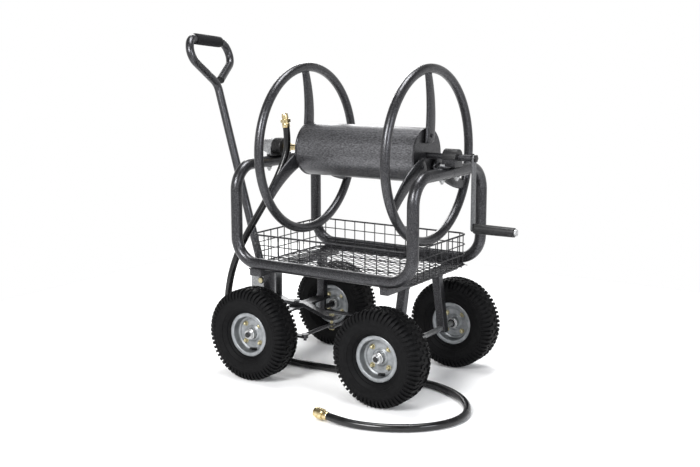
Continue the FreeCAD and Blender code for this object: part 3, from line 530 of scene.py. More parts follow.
class Shape:
    """Faces gathered for one piece before it becomes an object."""

    def __init__(self) -> None:
        """Start empty."""
        self.mesh = bmesh.new()

    def skin(self, loops: Sequence[Sequence[Vector]], caps: bool = True,
             joined: bool = False) -> "Shape":
        """Skin successive loops that have the same number of points.

        Args:
            loops: the closed loops in order.
            caps: whether the first and last loops are filled.
            joined: whether the last loop joins the first.

        Returns:
            This shape.
        """
        rows = [[self.mesh.verts.new(point) for point in loop] for loop in loops]
        pairs = list(zip(rows, rows[1:]))
        if joined:
            pairs.append((rows[-1], rows[0]))
        for low, high in pairs:
            count = len(low)
            for index in range(count):
                other = (index + 1) % count
                self.mesh.faces.new((low[index], low[other], high[other], high[index]))
        if caps and not joined:
            self.mesh.faces.new(list(reversed(rows[0])))
            self.mesh.faces.new(rows[-1])
        return self

    def tube(self, route: Sequence[Vector], radius: float | Callable[[float], float],
             sides: int = 24, flat: Callable[[float], float] | None = None,
             side_axis: Vector | None = None, joined: bool = False, caps: bool = True) -> "Shape":
        """Sweep a round or oval section along a route.

        Args:
            route: centre line points.
            radius: the radius, or a function of the share of the way along.
            sides: points round the section.
            flat: ratio of the second radius to the first, by the share along.
            side_axis: the direction that the first radius keeps to, if it is fixed.
            joined: whether the route is a closed ring.
            caps: whether the ends are filled.

        Returns:
            This shape.
        """
        points = [Vector(point) for point in route]
        total = len(points)
        first = side_axis
        loops = []
        for index, point in enumerate(points):
            if joined:
                ahead = points[(index + 1) % total] - points[index - 1]
            else:
                ahead = points[min(index + 1, total - 1)] - points[max(index - 1, 0)]
            ahead = ahead.normalized()
            if first is None:
                first = across(ahead)[0]
            flatwise = (side_axis or first) - ahead * (side_axis or first).dot(ahead)
            first = flatwise.normalized()
            share = index / max(1, total - 1)
            size = radius(share) if callable(radius) else radius
            loops.append(circle(point, first, ahead.cross(first), size, sides,
                                flat(share) if flat else 1.0))
        return self.skin(loops, caps=caps, joined=joined)

    def lathe(self, profile: Sequence[tuple[float, float]], base: Vector, axis: Vector,
              sides: int = 48, closed: bool = False) -> "Shape":
        """Turn a profile of (distance along, radius) about an axis.

        Args:
            profile: points from one end to the other, in metres.
            base: the point on the axis where distance along is nought.
            axis: the axis's direction.
            sides: points round.
            closed: whether the profile closes on itself, as for a ring.

        Returns:
            This shape.
        """
        axis = axis.normalized()
        first, second = across(axis)
        loops = [circle(base + axis * along, first, second, max(radius, 1e-5), sides)
                 for along, radius in profile]
        return self.skin(loops, caps=not closed, joined=closed)

    def plate(self, outline: Sequence[Vector], depth: Vector) -> "Shape":
        """A flat plate: an outline moved through a depth."""
        return self.skin([outline, [point + depth for point in outline]])

    def box(self, low: Point, high: Point) -> "Shape":
        """A block between two corners."""
        corners = [Vector((low[0], low[1], low[2])), Vector((high[0], low[1], low[2])),
                   Vector((high[0], high[1], low[2])), Vector((low[0], high[1], low[2]))]
        return self.plate(corners, Vector((0, 0, high[2] - low[2])))

    def hexagon(self, base: Vector, axis: Vector, radius: float, height: float,
                chamfer: float = 0.12) -> "Shape":
        """A hexagonal head or nut with its corners turned down at the top.

        Args:
            base: middle of the seat.
            axis: the way it stands.
            radius: radius over the corners.
            height: its height.
            chamfer: share of the height that is turned down.

        Returns:
            This shape.
        """
        axis = axis.normalized()
        first, second = across(axis)
        top = height * (1 - chamfer)
        loops = [circle(base, first, second, radius, 6),
                 circle(base + axis * top, first, second, radius, 6),
                 circle(base + axis * height, first, second, radius * 0.86, 6)]
        return self.skin(loops)

    def bolt(self, base: Vector, axis: Vector, radius: float, height: float) -> "Shape":
        """A hexagonal head on a thin washer.

        Args:
            base: middle of the seat.
            axis: the way it stands.
            radius: radius over the corners.
            height: height with the washer.

        Returns:
            This shape.
        """
        axis = axis.normalized()
        thin = radius * 0.16
        self.lathe([(0, radius * 1.25), (thin * 0.8, radius * 1.25), (thin, radius * 1.18)],
                   base, axis, 24)
        return self.hexagon(base + axis * thin, axis, radius, height - thin)

    def build(self, name: str, body: str, slot: str, replaces: Sequence[str] = (),
              finish: Finish | None = None, sharp: float = 34, bevel: float = 0.0,
              segments: int = 2, place: Matrix | None = None) -> bpy.types.Object:
        """Turn the faces into an object that rides on a body.

        Args:
            name: the piece's name.
            body: the CAD body that it rides on.
            slot: the record's material slot.
            replaces: CAD nodes that it stands for.
            finish: the finish, if it is not the slot's own.
            sharp: the edge angle above which shading breaks, in degrees.
            bevel: width of a rounded edge, in metres.
            segments: steps in each rounded edge.
            place: where the piece stands, if it was not drawn in place.

        Returns:
            The object.
        """
        bmesh.ops.recalc_face_normals(self.mesh, faces=self.mesh.faces)
        if bevel > 0:
            edges = [e for e in self.mesh.edges
                     if len(e.link_faces) == 2 and e.calc_face_angle(0) > math.radians(40)]
            bmesh.ops.bevel(self.mesh, geom=edges, offset=bevel, segments=segments,
                            profile=0.6, affect="EDGES", clamp_overlap=True)
        limit = math.radians(sharp)
        for face in self.mesh.faces:
            face.smooth = True
        for edge in self.mesh.edges:
            edge.smooth = len(edge.link_faces) == 2 and edge.calc_face_angle(0) < limit
        data = bpy.data.meshes.new(name)
        self.mesh.to_mesh(data)
        self.mesh.free()
        piece = bpy.data.objects.new(name, data)
        bpy.context.scene.collection.objects.link(piece)
        if place is not None:
            piece.matrix_world = place
        data.materials.append((finish or FINISH_OF_SLOT[slot]).build())
        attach(piece, body)
        if replaces:
            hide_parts(*replaces)
        LOG.info("%s: %d faces on %s", name, len(data.polygons), body)
        return piece


def middle(node: str) -> Vector:
    """The middle of a CAD node's box."""
    low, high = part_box(node)
    return (low + high) / 2


def at(x: float, y: float, z: float) -> Vector:
    """A point given in millimetres, in metres."""
    return Vector((mm(x), mm(y), mm(z)))


def polar(turn: float, along: float, radius: float) -> Vector:
    """A point round the Y axis, from an angle and two lengths in millimetres."""
    return at(radius * math.cos(turn), along, radius * math.sin(turn))


def mirrored(half: Sequence[tuple[float, float]]) -> list[tuple[float, float]]:
    """A profile of (along, radius) in millimetres followed by its mirror image, in metres."""
    whole = list(half) + [(-along, radius) for along, radius in reversed(half)]
    return [(mm(along), mm(radius)) for along, radius in whole]


def rounded_outline(corners: Sequence[Vector], bend: float) -> list[Vector]:
    """A closed outline whose corners are rounded with one radius.

    Args:
        corners: the corners in order.
        bend: the radius, in metres, made smaller where a side is too short.

    Returns:
        The outline's points.
    """
    count = len(corners)
    points = []
    for index in range(count):
        three = [corners[index - 1], corners[index], corners[(index + 1) % count]]
        near = min((three[0] - three[1]).length, (three[2] - three[1]).length) * 0.48
        half = (math.pi - (three[0] - three[1]).angle(three[2] - three[1])) / 2
        fitted = min(bend, near / max(math.tan(half), 1e-6))
        points += bent_route(three, [fitted], 0.3)[1:-1]
    return points


# ---- frame, undercarriage and basket ------------------------------------------------------------


@dataclass
class TubeFrame:
    """Joint bands, bar bolts and weld beads on the bent tube frame, whose tube is the CAD node."""

    tube_radius: float = 16.0
    band_width: float = 1.6
    stud_y: float = 42.0
    stud_radius: float = 4.0
    bead: float = 2.1

    def build(self) -> None:
        """Add the details to both hoops and both crossmembers."""
        low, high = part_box("frame_near")
        bar_z = high.z - mm(self.tube_radius)
        bands = Shape()
        studs = Shape()
        for x in (low.x + mm(self.tube_radius), high.x - mm(self.tube_radius)):
            half = mm(self.band_width / 2)
            ring = mm(self.tube_radius)
            bands.lathe([(-half, ring - mm(1)), (-half, ring + mm(0.35)), (half, ring + mm(0.35)),
                         (half, ring - mm(1))], Vector((x, 0, bar_z)), Y_AXIS, 48)
            for side in (-1, 1):
                foot = Vector((x, side * mm(self.stud_y), bar_z - mm(self.tube_radius) + mm(0.4)))
                studs.bolt(foot, -Z_AXIS, mm(7), mm(7))
                studs.lathe([(0, mm(self.stud_radius)), (mm(11), mm(self.stud_radius)),
                             (mm(12), mm(self.stud_radius - 1))], foot, -Z_AXIS, 16)
        bands.build("top_bar_bands", "root", "hammered_paint")
        studs.build("top_bar_studs", "root", "zinc_steel")
        beads = Shape()
        for seed, member in enumerate(("front_crossmember", "rear_crossmember")):
            base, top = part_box(member)
            for side in (-1, 1):
                post_y = side * (top.y - mm(3))
                for shift in (-6.5, 6.5):
                    y = post_y + mm(shift)
                    self.bead_line(beads, Vector((base.x + mm(2), y, top.z + mm(0.6))),
                                   Vector((top.x - mm(2), y, top.z + mm(0.6))), seed)
        beads.build("rail_weld_beads", "root", "hammered_paint")

    def bead_line(self, shape: Shape, start: Vector, end: Vector, seed: int) -> None:
        """A straight weld bead with uneven ripples between two points.

        Args:
            shape: the shape it joins.
            start: one end.
            end: the other end.
            seed: seed of the ripples.
        """
        rand = random.Random(seed)
        count = max(6, int((end - start).length / mm(2)))
        route = [start.lerp(end, step / count) for step in range(count + 1)]
        sizes = [mm(self.bead) * (0.8 + 0.35 * rand.random()) for _ in route]
        shape.tube(route, lambda share: sizes[min(count, round(share * count))], 8)


@dataclass
class Undercarriage:
    """Crossmembers, legs, front beam and axle fittings."""

    corner: float = 2.4
    leg: float = 24.0
    bead: float = 1.8

    def square_tube(self, name: str, node_name: str, tops: Sequence[Vector],
                    feet: Sequence[Vector]) -> None:
        """Legs with rounded corners between feet and tops.

        Args:
            name: the piece's name.
            node_name: the CAD node that it stands for.
            tops: middle of each upper end.
            feet: middle of each lower end.
        """
        shape = Shape()
        half = mm(self.leg / 2)
        for top, foot in zip(tops, feet):
            loops = []
            for share in (0, 0.5, 1):
                centre = foot.lerp(top, share)
                square = [centre + Vector((sx * half, sy * half, 0))
                          for sx, sy in ((-1, -1), (1, -1), (1, 1), (-1, 1))]
                loops.append(rounded_outline(square, mm(self.corner)))
            shape.skin(loops)
            for end, lift in ((foot, 0), (top, -1)):
                ring = rounded_outline([end + Vector((sx * half, sy * half, mm(lift)))
                                        for sx, sy in ((-1, -1), (1, -1), (1, 1), (-1, 1))],
                                       mm(self.corner))
                if end is top:
                    shape.tube(ring, mm(self.bead), 8, joined=True)
        shape.build(name, "root", "hammered_paint", [node_name])

    def build(self) -> None:
        """Build everything under the rails."""
        for name in ("front_crossmember", "rear_crossmember"):
            low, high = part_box(name)
            Shape().box(low, high).build(name + "_channel", "root", "hammered_paint", [name],
                                         bevel=mm(2.2), segments=3)
        low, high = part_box("front_legs")
        y = high.y - mm(self.leg / 2)
        x = (low.x + high.x) / 2
        self.square_tube("front_leg_tubes", "front_legs",
                         [Vector((x, side * y, high.z)) for side in (-1, 1)],
                         [Vector((x, side * y, low.z)) for side in (-1, 1)])
        low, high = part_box("rear_legs")
        x = (low.x + high.x) / 2
        foot_y = high.y - mm(self.leg / 2)
        self.square_tube("rear_leg_tubes", "rear_legs",
                         [Vector((x, side * mm(93), high.z)) for side in (-1, 1)],
                         [Vector((x, side * foot_y, low.z)) for side in (-1, 1)])
        low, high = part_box("front_beam")
        corners = [Vector((sx, sy, low.z)) for sx, sy in
                   ((low.x, low.y), (high.x, low.y), (high.x, high.y), (low.x, high.y))]
        beam = Shape().plate(rounded_outline(corners, mm(12)), Z_AXIS * (high.z - low.z))
        beam.build("steering_beam_plate", "root", "hammered_paint", ["front_beam"], bevel=mm(0.8))
        self.axle_ends()

    def axle_ends(self) -> None:
        """A washer, a split pin and a dark end on each axle."""
        for axle in ("front", "rear"):
            for side, word in ((-1, "near"), (1, "far")):
                tyre = middle(f"tyre_{axle}_{word}")
                hub_low, hub_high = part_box(f"hub_{axle}_{word}")
                face = hub_high.y if side > 0 else hub_low.y
                body = f"knuckle_{word}" if axle == "front" else "root"
                out = Y_AXIS * side
                base = Vector((tyre.x, face + side * mm(0.3), tyre.z))
                shape = Shape()
                shape.lathe([(0, mm(7.6)), (0, mm(12.5)), (mm(1.4), mm(12.5)), (mm(1.6), mm(7.6))],
                            base, out, 32)
                shape.tube([base + out * mm(3.4) + Z_AXIS * mm(reach) for reach in (-11, 0, 11)],
                           mm(1.1), 8)
                shape.build(f"axle_washer_{axle}_{word}", body, "zinc_steel")
                cap = Shape().lathe([(0, mm(7.7)), (mm(1.2), mm(7.3)), (mm(1.8), mm(5.2))],
                                    base + out * mm(5.6), out, 32)
                cap.build(f"axle_end_{axle}_{word}", body, "zinc_steel", finish=MouldedPlastic())


@dataclass
class Basket:
    """Wire basket: rounded loops, uprights and a floor of expanded sheet."""

    rim_wire: float = 2.5
    wall_wire: float = 1.5
    pitch: float = 34.27
    corner: float = 26.0
    middle_drop: float = 28.0
    strand: float = 1.25
    cell_length: float = 34.0
    cell_width: float = 12.0
    wire_end: float = 7.0

    def loop(self, shape: Shape, low: Vector, high: Vector, z: float, wire: float) -> None:
        """A wire bent round the basket at one height.

        Args:
            shape: the shape it joins.
            low: lowest corner of the basket.
            high: highest corner.
            z: height of the wire.
            wire: its radius in millimetres.
        """
        inset = mm(wire)
        corners = [Vector((x, y, z)) for x, y in
                   ((low.x + inset, low.y + inset), (high.x - inset, low.y + inset),
                    (high.x - inset, high.y - inset), (low.x + inset, high.y - inset))]
        shape.tube(rounded_outline(corners, mm(self.corner)), mm(wire), 12, joined=True)

    def build(self) -> None:
        """Build walls and floor inside the CAD boxes."""
        low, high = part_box("basket_walls")
        floor_low, floor_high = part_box("basket_floor")
        low = Vector((min(low.x, floor_low.x), min(low.y, floor_low.y), floor_low.z))
        high = Vector((max(high.x, floor_high.x), max(high.y, floor_high.y), high.z))
        walls = Shape()
        base_z = floor_low.z + mm(self.rim_wire)
        rim_z = high.z - mm(self.rim_wire)
        self.loop(walls, low, high, rim_z, self.rim_wire)
        self.loop(walls, low, high, rim_z - mm(self.middle_drop), self.wall_wire)
        self.loop(walls, low, high, rim_z - mm(self.middle_drop * 2), self.wall_wire)
        self.loop(walls, low, high, base_z, self.rim_wire)
        inset = mm(self.rim_wire * 1.6)
        bend = mm(self.corner)
        foot = base_z + mm(0.5)
        for x in self.spread(low.x + bend, high.x - bend):
            for side, y in ((-1, low.y + inset), (1, high.y - inset)):
                route = [Vector((x, y - side * mm(14), foot)), Vector((x, y, foot)),
                         Vector((x, y, rim_z))]
                walls.tube(bent_route(route, [mm(5)], 0.4), mm(self.wall_wire), 8)
        for y in self.spread(low.y + bend, high.y - bend):
            for side, x in ((-1, low.x + inset), (1, high.x - inset)):
                route = [Vector((x - side * mm(14), y, foot)), Vector((x, y, foot)),
                         Vector((x, y, rim_z))]
                walls.tube(bent_route(route, [mm(5)], 0.4), mm(self.wall_wire), 8)
        for y in self.spread(low.y + bend, high.y - bend):
            end = [Vector((high.x - mm(12), y + mm(8), base_z - mm(0.6))),
                   Vector((high.x + mm(self.wire_end), y + mm(8), base_z - mm(0.6)))]
            walls.tube(end, mm(self.strand), 8)
        walls.build("basket_wire_walls", "root", "coated_wire", ["basket_walls"])
        self.floor(low, high, base_z)

    def floor(self, low: Vector, high: Vector, z: float) -> None:
        """Strands that meet and part again, which leaves long narrow openings.

        Args:
            low: lowest corner of the basket.
            high: highest corner.
            z: height of the floor.
        """
        shape = Shape()
        rows = int((high.y - low.y) / mm(self.cell_width)) - 1
        cells = int((high.x - low.x) / mm(self.cell_length / 2)) - 1
        left = (low.x + high.x) / 2 - mm(self.cell_length / 4) * cells
        start = (low.y + high.y) / 2 - mm(self.cell_width / 2) * (rows - 1)
        swing = mm(self.cell_width / 2 - self.strand * 0.6)
        for row in range(rows):
            middle_y = start + row * mm(self.cell_width)
            route = []
            for cell in range(cells + 1):
                x = left + cell * mm(self.cell_length / 2)
                side = 1 if (cell + row) % 2 else -1
                for shift in (-0.16, 0.16):
                    route.append(Vector((x + mm(self.cell_length) * shift,
                                         middle_y + side * swing, z)))
            shape.tube(route, mm(self.strand), 6)
        shape.build("basket_expanded_floor", "root", "coated_wire", ["basket_floor"])

    def spread(self, low: float, high: float) -> list[float]:
        """Evenly spaced places close to the wires' pitch."""
        count = max(1, round((high - low) / mm(self.pitch)))
        return [low + (high - low) * step / count for step in range(count + 1)]


# ---- wheels -------------------------------------------------------------------------------------


@dataclass
class Wheel:
    """Pneumatic tyre on a two-sided pressed rim, with hub and bolts."""

    radius: float = 130.0
    half_width: float = 44.0
    shoulder_lugs: int = 60
    centre_knobs: int = 36
    lug_width: float = 3.5
    bolt_ring: float = 35.0
    bolt_head: float = 6.0
    hub_half: float = 23.0

    def tyre(self) -> Shape:
        """Carcass with bead rings, shoulder bars and diagonal knobs.

        Returns:
            The shape.
        """
        shape = Shape()
        half = [(-20, 53.3), (-22, 54), (-22.2, 62.3), (-25.5, 64.2), (-28.5, 66.8), (-30.2, 69.4),
                (-32.8, 69.6), (-34.6, 71.4), (-38.6, 77), (-40.2, 80.6), (-41.6, 80.9),
                (-42.3, 83.2), (-43.4, 92), (-43.5, 98.6), (-43.9, 99.4), (-43.7, 101),
                (-42.8, 106),
                (-40, 114.4), (-34.5, 120.8), (-26, 124.8), (-13, 126.6), (0, 127.2)]
        whole = half + [(-along, radius) for along, radius in reversed(half[:-1])]
        shape.lathe([(mm(a), mm(r)) for a, r in whole], Vector((0, 0, 0)), Y_AXIS, 144, closed=True)
        for side in (-1, 1):
            for index in range(self.shoulder_lugs):
                turn = 2 * math.pi * (index + (0.5 if side > 0 else 0)) / self.shoulder_lugs
                self.shoulder(shape, turn, side, 17.5 if index % 2 else 24.5)
            for index in range(self.centre_knobs):
                turn = 2 * math.pi * (index + (0.5 if side > 0 else 0)) / self.centre_knobs
                self.knob(shape, turn, side)
        return shape

    def shoulder(self, shape: Shape, turn: float, side: int, inner: float) -> None:
        """One bar from the sidewall over the shoulder.

        Args:
            shape: the tyre's shape.
            turn: the bar's angle.
            side: -1 or 1.
            inner: how near to the middle the bar ends.
        """
        section = [(41.6, 102.5), (44.0, 105.5), (43.8, 113.5), (41.2, 121.5), (36.0, 127.0),
                   (29.0, 129.4), (inner, 130.0), (inner - 1.4, 123.0), (32.0, 119.0),
                   (38.5, 112.5)]
        loops = []
        for sign in (-1, 1):
            loop = []
            for along, radius in section:
                proud = 1.0 if along > 39 and radius < 119 or radius > 126 else 1.22
                skew = (along - 30) * 0.10
                width = self.lug_width * (0.86 if proud == 1.0 else 1.12)
                loop.append(polar(turn + (sign * width + skew) / radius, side * along, radius))
            loops.append(loop)
        shape.skin(loops)

    def knob(self, shape: Shape, turn: float, side: int) -> None:
        """One slanting block beside the middle line.

        Args:
            shape: the tyre's shape.
            turn: the block's angle.
            side: -1 or 1.
        """
        corners = ((1.6, -3.8), (14.2, -7.4), (14.2, 0.6), (1.6, 4.2))
        loops = []
        for radius, grow in ((124.0, 1.1), (129.0, 1.0), (129.8, 0.9)):
            middle_along, middle_arc = 7.9, -1.6
            loops.append([polar(turn + (middle_arc + (arc - middle_arc) * grow) / radius,
                                side * (middle_along + (along - middle_along) * grow), radius)
                          for along, arc in corners])
        shape.skin(loops)

    def rim(self) -> Shape:
        """Pressed rim: rolled flanges, barrel and dished disc.

        Returns:
            The shape.
        """
        half = [(-22.0, 53.1), (-22.0, 58.5), (-22.9, 61.3), (-24.2, 62.0), (-25.5, 60.8),
                (-26.0, 57.5), (-25.8, 53.5), (-24.6, 51.2), (-22.0, 50.2), (-14.0, 49.4),
                (-9.0, 48.6), (-7.2, 46.8), (-6.6, 44.0), (-5.0, 42.2), (-2.6, 41.4), (-2.0, 39.0),
                (-2.0, 25.5), (-3.0, 23.0), (-5.0, 21.6), (-6.0, 19.4), (-6.2, 16.2)]
        whole = mirrored(half)
        return Shape().lathe(whole, Vector((0, 0, 0)), Y_AXIS, 96, closed=True)

    def hub_shape(self) -> Shape:
        """Bored hub with stepped ends."""
        half = [(-23.0, 7.7), (-23.0, 12.6), (-22.2, 13.6), (-19.4, 13.8), (-19.0, 15.2),
                (-18.2, 16.0), (-8.0, 16.0)]
        return Shape().lathe(mirrored(half), Vector((0, 0, 0)), Y_AXIS, 64, closed=True)

    def bolts(self) -> Shape:
        """Hexagonal bolts and nuts on both faces of the disc.

        Returns:
            The shape.
        """
        shape = Shape()
        for index in range(4):
            turn = math.radians(45 + 90 * index)
            for side in (-1, 1):
                base = polar(turn, side * 2, self.bolt_ring)
                shape.bolt(base, Y_AXIS * side, mm(self.bolt_head), mm(5.4))
                if side < 0:
                    shape.lathe([(0, mm(3.9)), (mm(8.6), mm(3.9)), (mm(9.2), mm(3.1))],
                                base, -Y_AXIS, 20)
        return shape

    def valve(self) -> Shape:
        """Rubber valve stem with its cap, on the near face.

        Returns:
            The shape.
        """
        turn = math.radians(-72)
        route = [polar(turn, -6, 45.6), polar(turn, -12, 44), polar(turn, -25, 41)]
        shape = Shape().tube(route, mm(3.9), 16)
        out = (route[2] - route[1]).normalized()
        return shape.lathe([(0, mm(4.5)), (mm(6), mm(4.3)), (mm(7.4), mm(3.0))], route[2], out, 20)

    def build(self, axle: str, side: str) -> None:
        """Build one wheel.

        Args:
            axle: front or rear.
            side: near or far.
        """
        word = f"{axle}_{side}"
        body = "wheel_" + word
        centre = middle("tyre_" + word)
        flip = math.pi if side == "far" else 0.0
        place = Matrix.Translation(centre) @ Matrix.Rotation(flip, 4, "Z")
        self.tyre().build("tyre_tread_" + word, body, "tyre_rubber", ["tyre_" + word], sharp=30,
                          place=place)
        rim = self.rim().build("rim_pressing_" + word, body, "rim_paint", ["rim_" + word], sharp=50,
                               place=place)
        # Painted shade: the inside of the barrel gets a darker enamel.
        self.paint_barrel_shade(rim)
        self.hub_shape().build("hub_barrel_" + word, body, "zinc_steel", ["hub_" + word],
                               place=place)
        seal = Shape()
        for sign in (-1, 1):
            seal.lathe([(0, mm(8.2)), (0, mm(12.2)), (mm(0.5), mm(12.0)), (mm(0.5), mm(8.4))],
                       Vector((0, sign * mm(self.hub_half - 0.1), 0)), Y_AXIS * sign, 40)
        seal.build("hub_seals_" + word, body, "black_plastic", place=place)
        self.bolts().build("rim_hex_bolts_" + word, body, "yellow_zinc", ["rim_bolts_" + word],
                           place=place)
        self.valve().build("valve_stem_" + word, body, "tyre_rubber", place=place,
                           finish=MouldedPlastic())

    def paint_barrel_shade(self, rim: bpy.types.Object) -> None:
        """Give the inside of the barrel a darker copy of the rim enamel, as painted shade in the
        recess.

        Args:
            rim: the rim.
        """
        # The second, darker material is painted shade for the barrel's recess.
        rim.data.materials.append(PaintedShadeBarrelEnamel().build())
        for face in rim.data.polygons:
            reach = math.hypot(face.center.x, face.center.z)
            if mm(46) < reach < mm(51.5) and abs(face.center.y) > mm(6):
                face.material_index = 1


@dataclass(frozen=True)
class PaintedShadeBarrelEnamel(RimEnamel):
    """Rim enamel darkened as painted shade inside the barrel's recess."""

    name: str = "painted_shade_barrel_enamel"
    # These darker colours are painted shade in the barrel's recess, not the enamel's own colour.
    colour: str = "#4B4E50"
    second: str = "#6C6F71"
    roughness: float = 0.5


# ---- steering and handle ------------------------------------------------------------------------


@dataclass
class Steering:
    """Tongue, yoke and pivot washers; knuckles, pins and tie rods are the CAD nodes."""

    plate: float = 3.0
    edge: float = 1.4
    thick: float = 12.0
    drop: float = 26.0
    rise: float = 22.0
    step_x: float = -210.0
    slope_x: float = -138.0
    flat_x: float = -59.0

    def build(self) -> None:
        """Build the tongue and the yoke over their CAD boxes."""
        low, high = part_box("tongue")
        thick, drop, rise = mm(self.thick), mm(self.drop), mm(self.rise)
        top = [(high.x, low.z + thick), (mm(self.flat_x), low.z + thick),
               (mm(self.slope_x), low.z + drop + thick), (mm(self.step_x), low.z + drop + thick),
               (low.x, high.z)]
        side = [Vector((high.x, low.y, low.z))] + [Vector((x, low.y, z)) for x, z in top]
        side += [Vector((low.x, low.y, high.z - thick)),
                 Vector((mm(self.step_x), low.y, low.z + drop)),
                 Vector((mm(self.slope_x), low.y, low.z + drop)),
                 Vector((mm(self.flat_x), low.y, low.z))]
        tongue = Shape().plate(side, Y_AXIS * (high.y - low.y))
        tongue.build("tongue_bar", "tongue", "hammered_paint", ["tongue"], bevel=mm(self.edge),
                     segments=3)
        yoke_low, yoke_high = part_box("yoke")
        outline = [(yoke_low.x, yoke_high.z), (yoke_high.x, yoke_high.z), (yoke_high.x, yoke_low.z),
                   (low.x, low.z + drop + rise), (yoke_low.x, low.z + drop + rise + mm(13))]
        yoke = Shape()
        for start in (yoke_low.y, yoke_high.y - mm(self.plate)):
            corners = [Vector((x, start, z)) for x, z in outline]
            yoke.plate(rounded_outline(corners, mm(7)), Y_AXIS * mm(self.plate))
        web_z = mm(199)
        yoke.box((yoke_low.x + mm(2), yoke_low.y + mm(2), web_z),
                 (low.x, yoke_high.y - mm(2), web_z + mm(self.plate)))
        yoke.build("yoke_cheeks", "tongue", "cast_zinc", ["yoke"], bevel=mm(0.5))
        pivot = Vector((mm(-291), 0, mm(230)))
        washers = Shape()
        for sign in (-1, 1):
            base = pivot + Y_AXIS * sign * (yoke_high.y + mm(0.05))
            washers.lathe([(0, mm(5.2)), (0, mm(11)), (mm(1.3), mm(10.6)), (mm(1.3), mm(5.2))],
                          base, Y_AXIS * sign, 32)
        washers.build("pivot_washers", "tongue", "black_plastic")


@dataclass
class PullHandle:
    """Foam sleeve and plug on the bent handle, whose tube is the CAD node."""

    lean: float = 16.2
    twist: float = 12.2
    shaft: float = 609.0
    loop_left: float = 128.0
    loop_right: float = 134.0
    depth: float = 136.0
    tube: float = 12.2
    foam: float = 16.4
    grip: float = 150.0
    pivot: tuple[float, float, float] = (-291.0, 0.0, 230.0)
    axes: tuple[Vector, Vector] = field(init=False)

    def __post_init__(self) -> None:
        """Work out the handle's up and across directions."""
        lean, twist = math.radians(self.lean), math.radians(self.twist)
        up = Vector((-math.sin(lean), 0, math.cos(lean)))
        normal = up.cross(Y_AXIS)
        self.axes = (up, Y_AXIS * math.cos(twist) + normal * math.sin(twist))

    def point(self, across_mm: float, up_mm: float) -> Vector:
        """A point in the loop's plane, from the neck."""
        up, side = self.axes
        return at(*self.pivot) + up * mm(self.shaft + up_mm) + side * mm(across_mm)

    def build(self) -> None:
        """Build the sleeve and the plug."""
        middle_across = (self.loop_right - self.loop_left) * 0.4
        half = self.grip / 2
        ends = (self.point(middle_across - half, self.depth),
                self.point(middle_across + half, self.depth))
        axis = ends[1] - ends[0]
        profile = [(0, self.tube + 0.05), (0, self.foam - 1.8), (0.6, self.foam - 0.7),
                   (2.0, self.foam), (30, self.foam + 0.25), (75, self.foam + 0.35),
                   (120, self.foam + 0.25), (148.0, self.foam), (149.4, self.foam - 0.7),
                   (150, self.foam - 1.8), (150, self.tube + 0.05)]
        grip = Shape().lathe([(mm(a), mm(r)) for a, r in profile], ends[0], axis, 48, closed=True)
        piece = grip.build("foam_grip", "handle", "black_foam", ["handle_grip"])
        tail = self.point(self.tube * 2.15, self.tube * 1.15)
        corner = self.point(self.loop_right, self.depth * 0.59)
        out = (tail - corner).normalized()
        dome = [(-12, self.tube - 1.6), (0, self.tube - 1.6), (0, self.tube + 0.3),
                (1.4, self.tube + 0.3),
                (2.6, self.tube - 0.8), (3.4, self.tube - 3.5), (3.7, 2.0)]
        plug = Shape().lathe([(mm(a), mm(r)) for a, r in dome], tail, out, 40)
        plug.build("tail_plug", "handle", "black_plastic", ["handle_plug"])


# ---- reel, bearings and crank -------------------------------------------------------------------


